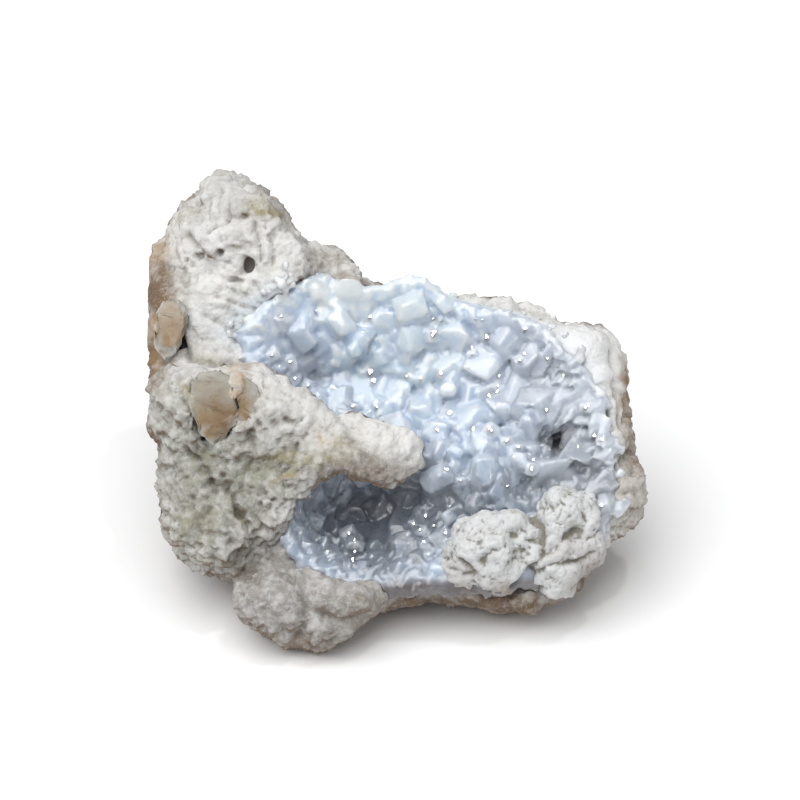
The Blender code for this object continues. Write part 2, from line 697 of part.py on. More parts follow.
def main():
    clear_scene()
    geode = face_frame()
    rock = rock_mass(geode)
    ambers, sockets = amber_crystals(rock, geode)
    crust = lining(geode)
    white = nodule("white_nodule", 0.0, NODULE_TRIANGLES, geode)
    socket = helper(nodule("nodule_socket", NODULE_GAP, SOCKET_TRIANGLES, geode))
    pits = pit_cutters(rock, geode)
    roof = HOLLOW_ROOM
    space = hollow_space("lining_space", 0.0, lambda x, y: hollow_wall(x, y) + roof, geode)
    ground = ground_block()
    for cutter in (space, socket, pits, ground, *sockets):
        boolean(rock, "DIFFERENCE", cutter)
    boolean(crust, "DIFFERENCE", socket)
    boolean(white, "DIFFERENCE", ground)
    for piece in (rock, crust, white):
        keep_largest(piece)
    finishes = (
        (material("host_rock", ROCK_COLOUR, ROCK_ROUGHNESS), [rock]),
        (material("celestite", CELESTITE_COLOUR, CELESTITE_ROUGHNESS), [crust]),
        (material("white_mineral", NODULE_COLOUR, NODULE_ROUGHNESS), [white]),
        (material("iron_stained_crystal", AMBER_COLOUR, AMBER_ROUGHNESS), ambers),
    )
    for finish, pieces in finishes:
        for piece in pieces:
            piece.data.materials.clear()
            piece.data.materials.append(finish)
    centred(geode, [rock, crust, white, *ambers])


main()
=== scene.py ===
"""The looks of a celestite geode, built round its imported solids.

The rock is described in its face frame, as seen by someone who looks straight into the hollow:
u runs across to the right, v runs up the face and w comes out of it, all in millimetres. Meshes are
made in that frame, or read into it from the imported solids, and are placed in the world in metres.
"""

import logging
import math
import random
from dataclasses import dataclass, field
from enum import Enum
from typing import Callable, Sequence, TypeVar

import bmesh
import bpy
import numpy as np
from mathutils import Matrix, Vector, noise
from mathutils.bvhtree import BVHTree


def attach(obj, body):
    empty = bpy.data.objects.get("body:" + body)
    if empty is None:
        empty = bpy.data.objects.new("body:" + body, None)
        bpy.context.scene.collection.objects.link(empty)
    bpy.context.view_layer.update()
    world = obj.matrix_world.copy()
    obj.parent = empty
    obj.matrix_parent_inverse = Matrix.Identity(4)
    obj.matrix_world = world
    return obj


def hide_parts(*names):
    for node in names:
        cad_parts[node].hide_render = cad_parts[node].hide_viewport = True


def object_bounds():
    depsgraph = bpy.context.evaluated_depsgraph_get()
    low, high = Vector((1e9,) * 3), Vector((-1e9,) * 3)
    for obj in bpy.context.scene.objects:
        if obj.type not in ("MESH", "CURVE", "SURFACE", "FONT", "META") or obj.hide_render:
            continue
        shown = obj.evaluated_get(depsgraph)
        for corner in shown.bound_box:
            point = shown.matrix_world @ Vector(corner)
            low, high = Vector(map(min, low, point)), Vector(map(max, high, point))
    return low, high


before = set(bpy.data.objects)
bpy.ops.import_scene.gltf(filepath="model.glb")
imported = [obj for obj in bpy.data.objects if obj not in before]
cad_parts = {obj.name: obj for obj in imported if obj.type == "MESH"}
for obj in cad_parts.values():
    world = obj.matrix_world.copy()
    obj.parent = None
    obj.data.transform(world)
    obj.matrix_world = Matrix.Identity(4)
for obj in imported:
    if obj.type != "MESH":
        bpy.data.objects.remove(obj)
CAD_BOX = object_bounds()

log = logging.getLogger("geode")

MM = 0.001
SOFTENING = 0.6
SPARK_LIGHT = (0.2, 0.0, 0.9)
CAMERA_DISTANCE = 0.6
DOWN = Vector((0.0, 0.0, -1.0))
Point2 = tuple[float, float]
Colour = tuple[float, float, float]
Made = TypeVar("Made")


def smooth_step(low: float, high: float, value: np.ndarray) -> np.ndarray:
    """A soft step from 0 at low to 1 at high.

    Args:
        low: Where the step starts.
        high: Where it ends.
        value: The numbers to judge.

    Returns:
        Numbers from 0 to 1.
    """
    share = np.clip((value - low) / (high - low), 0.0, 1.0)
    return share * share * (3.0 - 2.0 * share)


@dataclass(frozen=True)
class FaceFrame:
    """The frame that looks straight into the hollow, and its place in the world."""

    elevation_deg: float = 35.0
    middle: tuple[float, float, float] = (0.56, -4.81, 31.5)

    @property
    def matrix(self) -> Matrix:
        """The turn whose columns are the directions of u, v and w."""
        lean = math.radians(self.elevation_deg)
        up, out = math.cos(lean), math.sin(lean)
        return Matrix(((1.0, 0.0, 0.0), (0.0, out, -up), (0.0, up, out)))

    def to_world(self, points: np.ndarray) -> np.ndarray:
        """Face points in millimetres as world points in metres."""
        return (points @ np.array(self.matrix).T + np.array(self.middle)) * MM

    def to_face(self, points: np.ndarray) -> np.ndarray:
        """World points in metres as face points in millimetres."""
        return (points / MM - np.array(self.middle)) @ np.array(self.matrix)


FACE = FaceFrame()


@dataclass(frozen=True)
class Patch:
    """A soft-edged oval on the face: its middle, half widths, turn in degrees and strength."""

    middle: Point2
    half: Point2
    strength: float = 1.0
    turn: float = 0.0
    sharp: float = 1.0

    def weight(self, points: np.ndarray) -> np.ndarray:
        """How strongly the patch works at each face point, from 0 to its strength."""
        turn = math.radians(self.turn)
        du, dv = points[:, 0] - self.middle[0], points[:, 1] - self.middle[1]
        along = (du * math.cos(turn) + dv * math.sin(turn)) / self.half[0]
        across = (dv * math.cos(turn) - du * math.sin(turn)) / self.half[1]
        return self.strength * np.exp(-((along**2 + across**2) ** self.sharp))


def placed(kind: Callable[..., Made], *rows: tuple[float, ...]) -> tuple[Made, ...]:
    """Things made from rows of two pairs of numbers and their further values."""
    return tuple(kind(row[:2], row[2:4], *row[4:]) for row in rows)


def ovals(*rows: tuple[float, ...]) -> tuple[Patch, ...]:
    """Patches from rows of u, v, half width, half height and a patch's further values."""
    return placed(Patch, *rows)


def areas(kind: Callable[..., Made], *rows: tuple) -> tuple[Made, ...]:
    """Things with a patch each, made from rows of its four numbers and their further values."""
    return tuple(kind(Patch(row[:2], row[2:4]), *row[4:]) for row in rows)


@dataclass(frozen=True)
class Groove:
    """A crack or fold line on the face: its points, half width and rise (negative cuts in)."""

    line: tuple[Point2, ...]
    width: float
    rise: float

    def weight(self, points: np.ndarray) -> np.ndarray:
        """Rise of the line at each face point."""
        best = np.full(len(points), 1e9)
        for start, end in zip(self.line, self.line[1:]):
            a, b = np.array(start), np.array(end)
            run = b - a
            share = np.clip((points[:, :2] - a) @ run / (run @ run), 0.0, 1.0)
            gap = points[:, :2] - (a + share[:, None] * run)
            best = np.minimum(best, (gap**2).sum(axis=1))
        return self.rise * np.exp(-best / self.width**2)


def summed(forms: Sequence[Patch | Groove], points: np.ndarray) -> np.ndarray:
    """Sum of the weights of some patches and grooves at face points."""
    return sum(form.weight(points) for form in forms)


def inside_distance(outline: tuple[Point2, ...], points: np.ndarray) -> np.ndarray:
    """Distance inside a closed outline at each face point; it is negative outside."""
    x, y = points[:, 0], points[:, 1]
    within = np.zeros(len(points), bool)
    best = np.full(len(points), 1e9)
    for (ax, ay), (bx, by) in zip(outline, outline[1:] + outline[:1]):
        run_x, run_y = bx - ax, by - ay
        crosses = (ay > y) != (by > y)
        at = ax + run_x * (y - ay) / (run_y if run_y else 1e-9)
        within ^= crosses & (x < at)
        share = np.clip(((x - ax) * run_x + (y - ay) * run_y) / (run_x**2 + run_y**2), 0.0, 1.0)
        gap = (x - ax - share * run_x) ** 2 + (y - ay - share * run_y) ** 2
        best = np.minimum(best, gap)
    return np.sqrt(best) * np.where(within, 1.0, -1.0)


@dataclass(frozen=True)
class Hollow:
    """The open hollow of the rock: its outline on the face and the height of its wall."""

    outline: tuple[Point2, ...] = (
        (-25.3, 10.3), (-23.8, 5.5), (-20.6, 0.8), (-18.2, -4.8), (-18.2, -11.0), (-17.4, -17.4),
        (-17.7, -23.0), (-14.6, -26.6), (-7.9, -29.3), (0.0, -30.2), (7.9, -29.6), (15.8, -30.0),
        (25.3, -27.7), (31.0, -22.2), (33.2, -15.8), (33.6, -6.3), (32.0, 0.0), (29.0, 4.6),
        (25.4, 8.0), (22.4, 11.4), (18.6, 13.2), (11.9, 14.4), (6.6, 16.2), (3.6, 18.8),
        (0.2, 18.8), (-3.0, 17.2), (-7.9, 17.6), (-13.5, 20.2), (-18.2, 17.7), (-22.5, 13.5),
    )
    face_height: float = -1.0
    face_slope: float = -0.22
    lining_depth: float = 3.2
    dips: tuple[Patch, ...] = ovals(
        (2, 3, 24, 12, 9.5), (-13.5, 3.5, 7, 6, 3), (-5, -18.5, 11, 7.5, 13),
        (25.5, -6.5, 4.5, 3, 3.5), (1, 18.5, 16, 4, 3), (19, -20, 14, 8, 3.5),
    )
    forms: tuple[Patch, ...] = ovals(
        (-13, 21, 5, 3.5, -4), (30, 8, 6, 5, 1.8), (36, -14, 5, 6, 1.6), (-28, 8.5, 8, 3.5, -2.6),
        (15, 16, 14, 3, -2.5), (-24, 27, 6, 9, 3),
    )

    def face(self, points: np.ndarray) -> np.ndarray:
        """Height of the rock's face round the hollow, at each face point."""
        height = self.face_height + self.face_slope * points[:, 1]
        return height + summed(self.forms, points)

    def wall(self, points: np.ndarray) -> np.ndarray:
        """Height of the hollow's rock wall under each face point."""
        height = self.face_height + self.face_slope * points[:, 1] - self.lining_depth
        return height - summed(self.dips, points)

    def wall_normal(self, points: np.ndarray) -> np.ndarray:
        """Direction that the wall faces at each face point."""
        step = 0.4
        across = np.array((step, 0.0, 0.0))
        up = np.array((0.0, step, 0.0))
        slope_u = (self.wall(points + across) - self.wall(points - across)) / (2 * step)
        slope_v = (self.wall(points + up) - self.wall(points - up)) / (2 * step)
        normal = np.stack((-slope_u, -slope_v, np.ones(len(points))), axis=1)
        return normal / np.linalg.norm(normal, axis=1)[:, None]

    def edge_distance(self, points: np.ndarray) -> np.ndarray:
        """Distance inside the outline at each face point; it is negative outside."""
        return inside_distance(self.outline, points)


HOLLOW = Hollow()


class Paint(Enum):
    """Names of the values that code paints on the meshes' points."""

    OLIVE = "olive"
    RUST = "rust"
    SKIN = "skin"
    MOSS = "moss"
    SOOT = "soot"
    CHALK = "chalk"
    CREAM = "cream"
    CAVITY = "cavity"
    ICE = "ice"
    PAINTED_SHADE = "painted_shade"
    LILAC = "lilac"
    FROST_AND_LIGHT = "frost"
    EDGE_HIGHLIGHT = "rim"
    EARTH_AND_SHADE = "earth_and_shade"
    HOST = "host"
    CRYSTAL_SHADE = "dull"
    OCHRE = "ochre"


class Shade:
    """A value in a material's node tree, with arithmetic written as in Python."""

    def __init__(self, kit: "NodeKit", socket: bpy.types.NodeSocket) -> None:
        self.kit = kit
        self.socket = socket

    def math(self, operation: str, *others: "Shade | float", clamp: bool = False) -> "Shade":
        """Join this value to others by one Math node.

        Args:
            operation: The Math node's operation.
            others: The other values or numbers.
            clamp: Whether the result is held between 0 and 1.

        Returns:
            The node's result.
        """
        return self.kit.math(operation, self, *others, clamp=clamp)

    def __add__(self, other: "Shade | float") -> "Shade":
        """This value plus another."""
        return self.math("ADD", other)

    __radd__ = __add__

    def __mul__(self, other: "Shade | float") -> "Shade":
        """This value times another."""
        return self.math("MULTIPLY", other)

    __rmul__ = __mul__

    def __sub__(self, other: "Shade | float") -> "Shade":
        """This value less another."""
        return self.math("SUBTRACT", other)

    def __rsub__(self, other: float) -> "Shade":
        """A number less this value."""
        return self.kit.math("SUBTRACT", other, self)

    def held(self) -> "Shade":
        """This value held between 0 and 1."""
        return self.math("ADD", 0.0, clamp=True)

    def step(self, low: float, high: float) -> "Shade":
        """A soft step from 0 at low to 1 at high."""
        settings = {"interpolation_type": "SMOOTHSTEP"}
        values = {"Value": self, "From Min": low, "From Max": high}
        return self.kit.out("ShaderNodeMapRange", settings, values, "Result")


class NodeKit:
    """A new material's node tree, and the few ways in which this file adds to it."""

    def __init__(self, name: str) -> None:
        """Make the material, empty but for its output node."""
        self.material = bpy.data.materials.new(name)
        self.material.use_nodes = True
        self.tree = self.material.node_tree
        self.tree.nodes.clear()
        self.output = self.node("ShaderNodeOutputMaterial")
        self.place = self.out("ShaderNodeTexCoord", {}, {}, "Object")

    def node(
        self,
        kind: str,
        settings: dict[str, object] | None = None,
        values: dict[str | int, object] | None = None,
    ) -> bpy.types.Node:
        """Add one node.

        Args:
            kind: The node's type.
            settings: Its settings, which are set first.
            values: The value or link of each socket, by name or place.

        Returns:
            The new node.
        """
        node = self.tree.nodes.new(kind)
        for key, value in (settings or {}).items():
            setattr(node, key, value)
        for key, value in (values or {}).items():
            socket = node.inputs[key]
            if isinstance(value, Shade):
                self.tree.links.new(value.socket, socket)
            else:
                socket.default_value = value
        return node

    def out(
        self,
        kind: str,
        settings: dict[str, object],
        values: dict[str | int, object],
        result: str | int,
    ) -> Shade:
        """Add one node and take one of its outputs."""
        return Shade(self, self.node(kind, settings, values).outputs[result])

    def math(self, operation: str, *terms: Shade | float, clamp: bool = False) -> Shade:
        """Add a Math node on values and numbers."""
        settings = {"operation": operation, "use_clamp": clamp}
        return self.out("ShaderNodeMath", settings, dict(enumerate(terms)), 0)

    def painted(self, paint: Paint) -> Shade:
        """A value that is painted on the mesh, from 0 to 1."""
        return self.out("ShaderNodeAttribute", {"attribute_name": paint.value}, {}, "Fac")

    def stretched(self, stretch: tuple[float, float, float]) -> Shade:
        """The object's coordinates, stretched along each axis."""
        settings = {"operation": "MULTIPLY"}
        return self.out("ShaderNodeVectorMath", settings, {0: self.place, 1: stretch}, 0)

    def noise(
        self, size: float, detail: float = 4.0, rough: float = 0.55, place: Shade | None = None
    ) -> Shade:
        """Cloudy noise whose features are about this size, in millimetres."""
        values = {
            "Vector": place or self.place,
            "Scale": 1.0 / (size * MM),
            "Detail": detail,
            "Roughness": rough,
        }
        return self.out("ShaderNodeTexNoise", {}, values, 0)

    def cells(self, size: float) -> Shade:
        """Distance to the nearest of scattered points this far apart, in millimetres."""
        values = {"Vector": self.place, "Scale": 1.0 / (size * MM)}
        return self.out("ShaderNodeTexVoronoi", {}, values, "Distance")

    def blend(self, first: Shade | Colour, second: Shade | Colour, share: Shade | float) -> Shade:
        """One colour over another.

        Args:
            first: The colour at share 0.
            second: The colour at share 1.
            share: How much of the second shows.

        Returns:
            The blended colour.
        """
        node = self.tree.nodes.new("ShaderNodeMix")
        node.data_type = "RGBA"
        named = {socket.identifier: socket for socket in node.inputs}
        for key, value in (("A_Color", first), ("B_Color", second), ("Factor_Float", share)):
            if isinstance(value, Shade):
                self.tree.links.new(value.socket, named[key])
            elif isinstance(value, tuple):
                named[key].default_value = (*value, 1.0)
            else:
                named[key].default_value = value
        return Shade(self, next(s for s in node.outputs if s.identifier == "Result_Color"))

    def joined(self, operation: str, *terms: Shade) -> Shade:
        """Add a Vector Math node on vectors."""
        values = dict(enumerate(terms))
        return self.out("ShaderNodeVectorMath", {"operation": operation}, values, 0)

    def scaled(self, vector: Shade, share: float) -> Shade:
        """A vector times a number."""
        values = {"Vector": vector, "Scale": share}
        return self.out("ShaderNodeVectorMath", {"operation": "SCALE"}, values, 0)

    def bumped(
        self, height: Shade, depth: float, strength: float = 1.0, normal: Shade | None = None
    ) -> Shade:
        """A bumped normal from a height, its depth in millimetres."""
        values = {"Height": height, "Distance": depth * MM, "Strength": strength}
        if normal:
            values["Normal"] = normal
        return self.out("ShaderNodeBump", {}, values, "Normal")

    def finish(self, values: dict[str | int, object]) -> bpy.types.Material:
        """End the tree with a Principled shader that has these values."""
        surface = self.node("ShaderNodeBsdfPrincipled", {}, values)
        self.tree.links.new(surface.outputs[0], self.output.inputs["Surface"])
        return self.material


@dataclass(frozen=True)
class RockFinish:
    """Sugary pale host rock, with stained patches, its brown outer skin and painted shade under it and
    in its crevices.
    """

    white: Colour = (0.70, 0.705, 0.70)
    cream: Colour = (0.61, 0.575, 0.51)
    grey: Colour = (0.45, 0.45, 0.435)
    ice: Colour = (0.62, 0.70, 0.78)
    moss: Colour = (0.29, 0.30, 0.235)
    olive: Colour = (0.27, 0.23, 0.12)
    rust: Colour = (0.44, 0.27, 0.12)
    # brown outer skin, also used as painted shade on every face that looks down
    skin: Colour = (0.165, 0.112, 0.072)
    # grey soot, also used as painted shade on the lower-left face, under the tongue, on the foot and the
    # lower lip
    soot: Colour = (0.30, 0.29, 0.275)
    shade: Colour = (0.19, 0.165, 0.14)
    chalk: Colour = (0.86, 0.86, 0.86)

    def build(self) -> bpy.types.Material:
        """Make the material."""
        kit = NodeKit("host_rock")
        cloud = kit.noise(6.0, 5.0, 0.6)
        mottle = kit.noise(1.5, 4.0, 0.65)
        grain = kit.cells(0.55)
        fine = kit.noise(0.35, 3.0, 0.6)
        breakup = mottle.step(0.32, 0.68)
        greyed = (cloud.step(0.46, 0.68) * 0.55 + mottle.step(0.5, 0.72) * 0.35).held()
        colour = kit.blend(self.white, self.grey, greyed)
        layers = (
            (Paint.CREAM, self.cream, 0.45, 0.55),
            (Paint.CHALK, self.chalk, 0.7, 0.3),
            (Paint.ICE, self.ice, 0.6, 0.4),
            # soot: grey stains, and painted shade on the rock's shaded parts
            (Paint.SOOT, self.soot, 0.5, 0.6),
            (Paint.MOSS, self.moss, 0.35, 1.0),
            # skin: brown outer skin, and painted shade under the rock
            (Paint.SKIN, self.skin, 0.75, 0.5),
            (Paint.OLIVE, self.olive, 0.4, 1.0),
            (Paint.RUST, self.rust, 0.6, 0.5),
        )
        for paint, tone, steady, broken in layers:
            share = kit.painted(paint) * (breakup * broken + steady)
            colour = kit.blend(colour, tone, share.held())
        colour = kit.blend(colour, self.shade, (kit.painted(Paint.CAVITY) * 0.6).held())
        specks = (1.0 - grain.step(0.12, 0.4)) * fine.step(0.4, 0.6)
        colour = kit.blend(colour, self.white, specks * 0.22)
        height = (1.0 - grain) * 0.6 + fine * 0.5 + mottle * 0.7
        return kit.finish(
            {
                "Base Color": colour,
                "Roughness": (0.92 - specks * 0.35).held(),
                "Specular IOR Level": 0.35,
                "Normal": kit.bumped(height, 0.24, 0.7),
            }
        )


@dataclass(frozen=True)
class CelestiteFinish:
    """Milky pale blue crystal: light passes through it, and its flat faces glint."""

    blue: Colour = (0.61, 0.755, 0.95)
    lilac: Colour = (0.53, 0.575, 0.65)
    # frost white; also painted light at the crystals' roots, over the sheet and on convex edges
    frost: Colour = (0.86, 0.91, 0.985)
    # dark colour of the painted shade, also used for small dark specks
    painted_shade: Colour = (0.15, 0.165, 0.19)
    # brown earth, also used as painted shade along the lower lip and in a dark crevice
    earth_and_shade: Colour = (0.14, 0.105, 0.095)
    transmission: float = 0.3
    ior: float = 1.62
    milkiness: float = 0.4
    glow_depth: float = 1.5
    absorbed: Colour = (0.80, 0.88, 0.96)
    absorption_density: float = 20.0

    def build(self) -> bpy.types.Material:
        """Make the material."""
        kit = NodeKit("celestite")
        veil = kit.noise(2.6, 4.0, 0.6)
        wisps = kit.noise(0.7, 3.0, 0.6)
        colour = kit.blend(self.blue, self.lilac, kit.painted(Paint.LILAC))
        # frost, partly painted light that lifts the shade at the roots and between crystals
        frost_and_painted_light = kit.painted(Paint.FROST_AND_LIGHT) * 0.8 + veil.step(0.42, 0.75) * 0.35 - 0.05
        # convex crystal edges are painted paler as a painted highlight
        frost_and_painted_light = (frost_and_painted_light + kit.painted(Paint.EDGE_HIGHLIGHT) * 0.35).held()
        colour = kit.blend(colour, self.frost, frost_and_painted_light)
        # painted shade in the pocket, the crevices and the lower lip; the specks are small dark flecks
        # in the crystal
        specks = kit.noise(1.2, 3.0, 0.7).step(0.58, 0.76)
        dimmed = (kit.painted(Paint.PAINTED_SHADE) * (0.8 + specks * 0.3) + specks * 0.08).held()
        colour = kit.blend(colour, self.painted_shade, dimmed)
        # brown earth and painted shade along the lower lip and in a crevice on the right
        colour = kit.blend(colour, self.earth_and_shade, (kit.painted(Paint.EARTH_AND_SHADE) * (0.55 + veil * 0.6)).held())
        waves = kit.noise(1.1, 2.0, 0.5)
        height = wisps * 0.25 + veil * 0.35 + waves * 0.6
        material = kit.finish(
            {
                "Base Color": colour,
                "Roughness": (0.08 + wisps * 0.14 + veil * 0.06).held(),
                "IOR": self.ior,
                "Transmission Weight": self.transmission,
                "Subsurface Weight": 1.0,
                "Subsurface Radius": (1.0, 1.0, 1.0),
                "Subsurface Scale": self.glow_depth * MM,
                "Normal": kit.bumped(height, 0.14, 0.7, self.milky_normal(kit)),
                "Coat Weight": 0.6,
                "Coat Roughness": 0.06,
                "Coat IOR": 1.6,
            }
        )
        values = {"Color": (*self.absorbed, 1.0), "Density": self.absorption_density}
        inside = kit.node("ShaderNodeVolumeAbsorption", {}, values)
        kit.tree.links.new(inside.outputs[0], kit.output.inputs["Volume"])
        return material

    def milky_normal(self, kit: NodeKit) -> Shade:
        """The normal that the body is lit by: light inside milky crystal comes from all round."""
        settings = {"vector_type": "NORMAL", "convert_from": "OBJECT", "convert_to": "WORLD"}
        open_way = kit.out("ShaderNodeAttribute", {"attribute_name": "open_way"}, {}, "Vector")
        open_way = kit.out("ShaderNodeVectorTransform", settings, {"Vector": open_way}, "Vector")
        facet = kit.out("ShaderNodeNewGeometry", {}, {}, "Normal")
        facet = kit.scaled(facet, 1.0 - self.milkiness)
        return kit.joined("NORMALIZE", kit.joined("ADD", facet, kit.scaled(open_way, self.milkiness)))


@dataclass(frozen=True)
class NoduleFinish:
    """Chalky white nodule, greenish-grey in places, with painted shade in its folds."""

    white: Colour = (0.63, 0.635, 0.64)
    fold_shade: Colour = (0.23, 0.215, 0.18)
    tint: Colour = (0.44, 0.445, 0.41)
    # brown earth, also used as painted shade towards the nodule's foot
    earth_and_shade: Colour = (0.33, 0.275, 0.245)

    def build(self) -> bpy.types.Material:
        """Make the material."""
        kit = NodeKit("white_mineral")
        cloud = kit.noise(3.0, 4.0, 0.6)
        grain = kit.cells(0.5)
        fine = kit.noise(0.3, 3.0, 0.6)
        mottle = kit.noise(0.9, 4.0, 0.7)
        greyed = (cloud.step(0.42, 0.75) * 0.6 + mottle.step(0.48, 0.7) * 0.5).held()
        colour = kit.blend(self.white, self.tint, greyed)
        # brown earth and painted shade towards the foot
        colour = kit.blend(colour, self.earth_and_shade, (kit.painted(Paint.EARTH_AND_SHADE) * (0.5 + mottle)).held())
        # painted shade in the folds and crevices
        colour = kit.blend(colour, self.fold_shade, (kit.painted(Paint.CAVITY) * (0.75 + mottle * 0.5)).held())
        height = (1.0 - grain) * 0.5 + fine * 0.5 + mottle * 1.2
        return kit.finish(
            {
                "Base Color": colour,
                "Roughness": (0.86 - fine * 0.2).held(),
                "Specular IOR Level": 0.35,
                "Normal": kit.bumped(height, 0.24, 0.8),
            }
        )


@dataclass(frozen=True)
class AmberFinish:
    """Iron-stained crystal: beige above, orange-brown towards its foot, each crystal darkened by its own
    share of painted shade.
    """

    beige: Colour = (0.40, 0.365, 0.29)
    amber: Colour = (0.33, 0.205, 0.09)
    brown: Colour = (0.22, 0.14, 0.07)
    pale: Colour = (0.56, 0.545, 0.49)
    host: Colour = (0.46, 0.45, 0.41)
    # dark colour of each crystal's painted shade
    dull: Colour = (0.12, 0.10, 0.06)
    ochre: Colour = (0.15, 0.085, 0.035)

    def build(self) -> bpy.types.Material:
        """Make the material."""
        kit = NodeKit("iron_stained_crystal")
        cloud = kit.noise(1.6, 4.0, 0.6)
        lines = kit.noise(0.8, 3.0, 0.5, kit.stretched((1.0, 0.18, 0.18)))
        stained = (kit.painted(Paint.RUST) * 1.1 + (cloud - 0.5) * 1.2).held()
        flecks = kit.noise(0.8, 4.0, 0.65).step(0.45, 0.7)
        colour = kit.blend(self.beige, self.pale, flecks * 0.6)
        colour = kit.blend(colour, self.amber, stained)
        colour = kit.blend(colour, self.brown, (lines * 0.3 - 0.05 + flecks * 0.15).held())
        mottled = kit.blend(self.host, self.pale, cloud.step(0.4, 0.65))
        colour = kit.blend(colour, mottled, kit.painted(Paint.HOST))
        # painted shade that darkens the whole crystal
        colour = kit.blend(colour, self.dull, kit.painted(Paint.CRYSTAL_SHADE))
        colour = kit.blend(colour, self.ochre, (kit.painted(Paint.OCHRE) * (0.5 + cloud)).held())
        height = lines * 0.7 + cloud * 0.3
        return kit.finish(
            {
                "Base Color": colour,
                "Roughness": (0.5 + cloud * 0.25).held(),
                "IOR": 1.6,
                "Transmission Weight": 0.08,
                "Normal": kit.bumped(height + flecks * 0.4, 0.2, 0.8),
            }
        )


@dataclass(frozen=True)
class FloorFinish:
    """Matt, near-white floor with the faintest mottle."""

    pale: Colour = (0.91, 0.91, 0.91)
    dull: Colour = (0.89, 0.89, 0.89)

    def build(self) -> bpy.types.Material:
        """Make the material."""
        kit = NodeKit("pale_floor")
        colour = kit.blend(self.pale, self.dull, kit.noise(180.0, 2.0))
        return kit.finish({"Base Color": colour, "Roughness": 0.9, "Specular IOR Level": 0.1})


# brown earth and painted shade along the lining's lower lip and in crevices on its right
EARTH_AND_SHADE_PATCHES = ovals(
    (4.6, -30.6, 13, 2.2, 1.3, 0, 1.6), (20, -30, 6, 2.4, 1.1, 0, 1.6),
    (31, -12.4, 3.4, 2.4, 0.25, 0, 1.4), (25, -6.2, 2.6, 1.6, 0.35, 20, 1.4),
)


@dataclass
class MeshParts:
    """Points and faces gathered from many small shells, with the values painted on them."""

    points: list[np.ndarray] = field(default_factory=list)
    faces: list[tuple[int, ...]] = field(default_factory=list)
    painted: dict[Paint, list[np.ndarray]] = field(default_factory=dict)
    smooth: list[np.ndarray] = field(default_factory=list)
    count: int = 0

    def add(
        self,
        points: np.ndarray,
        faces: Sequence[tuple[int, ...]],
        painted: dict[Paint, np.ndarray],
        smooth: bool = False,
    ) -> None:
        """Add one closed shell.

        Args:
            points: Its points in the face frame, in millimetres.
            faces: Its faces, as places in points.
            painted: The values painted on its points.
            smooth: Whether its faces are shaded as one soft skin.
        """
        self.points.append(points)
        start = self.count
        self.faces.extend(tuple(start + i for i in face) for face in faces)
        self.smooth.append(np.full(len(faces), smooth))
        # every shell takes the brown earth and painted shade of the lower lip
        for paint, values in {**painted, Paint.EARTH_AND_SHADE: summed(EARTH_AND_SHADE_PATCHES, points)}.items():
            self.painted.setdefault(paint, []).append(values)
        self.count += len(points)

    def to_object(self, name: str, material: bpy.types.Material) -> bpy.types.Object:
        """Make one mesh object of everything gathered."""
        points = FACE.to_world(np.concatenate(self.points))
        mesh = bpy.data.meshes.new(name)
        mesh.from_pydata(points.tolist(), [], self.faces)
        mesh.update()
        for paint, values in self.painted.items():
            paint_mesh(mesh, paint, np.concatenate(values))
        mesh.materials.append(material)
        mesh.polygons.foreach_set("use_smooth", np.concatenate(self.smooth))
        self.note_open_way(mesh)
        return link(name, mesh)

    def fused(self, voxel: float, merged: float, ease: int) -> "MeshParts":
        """The same shells grown together into one closed skin.

        Args:
            voxel: Size of the skin's faces in millimetres.
            merged: How readily flat places are made of fewer, larger faces, from 0 to 1.
            ease: How many times its points are eased towards their neighbours.

        Returns:
            The skin, which carries the shells' painted values.
        """
        points = np.concatenate(self.points)
        shells = bpy.data.meshes.new("shells")
        shells.from_pydata((points * MM).tolist(), [], self.faces)
        mesh = evened(link("shells", shells), "skin", voxel, merged)
        pairs = edge_pairs(mesh)
        skin = averaged(read_points(mesh), pairs, ease, 0.5)
        write_points(mesh, skin)
        eased = averaged(skin, pairs, 3, 0.7)
        raised = np.einsum("ij,ij->i", read_points(mesh, "normal"), skin - eased) / (0.07 * MM)
        skin = skin / MM
        grown = BVHTree.FromPolygons(points.tolist(), self.faces)
        nearest = np.array([grown.find_nearest(Vector(p))[2] for p in skin.tolist()])
        starts = np.array([face[0] for face in self.faces])
        painted = {
            paint: np.concatenate(values)[starts][nearest]
            for paint, values in self.painted.items()
        }
        # how far each point stands out from its neighbours, painted on convex edges as a highlight
        painted[Paint.EDGE_HIGHLIGHT] = np.clip(raised, 0.0, 1.0)
        made = MeshParts()
        made.add(skin, [tuple(face.vertices) for face in mesh.polygons], painted, True)
        bpy.data.meshes.remove(mesh)
        return made

    def note_open_way(self, mesh: bpy.types.Mesh) -> None:
        """Write on each face which way the hollow opens over it, for the milky body's light."""
        middles = np.zeros(len(mesh.polygons) * 3)
        mesh.polygons.foreach_get("center", middles)
        open_way = HOLLOW.wall_normal(FACE.to_face(middles.reshape(-1, 3))) + (0.0, 0.0, 1.0)
        open_way /= np.linalg.norm(open_way, axis=1)[:, None]
        noted = mesh.attributes.new("open_way", "FLOAT_VECTOR", "FACE")
        noted.data.foreach_set("vector", (open_way @ np.array(FACE.matrix).T).ravel())


def link(name: str, mesh: bpy.types.Mesh) -> bpy.types.Object:
    """Put a mesh into the scene as an object."""
    obj = bpy.data.objects.new(name, mesh)
    bpy.context.scene.collection.objects.link(obj)
    return obj


def paint_mesh(mesh: bpy.types.Mesh, paint: Paint, values: np.ndarray) -> None:
    """Paint one value on each point of a mesh."""
    attribute = mesh.attributes.new(paint.value, "FLOAT", "POINT")
    attribute.data.foreach_set("value", np.clip(values, 0.0, 1.0).astype(np.float32))


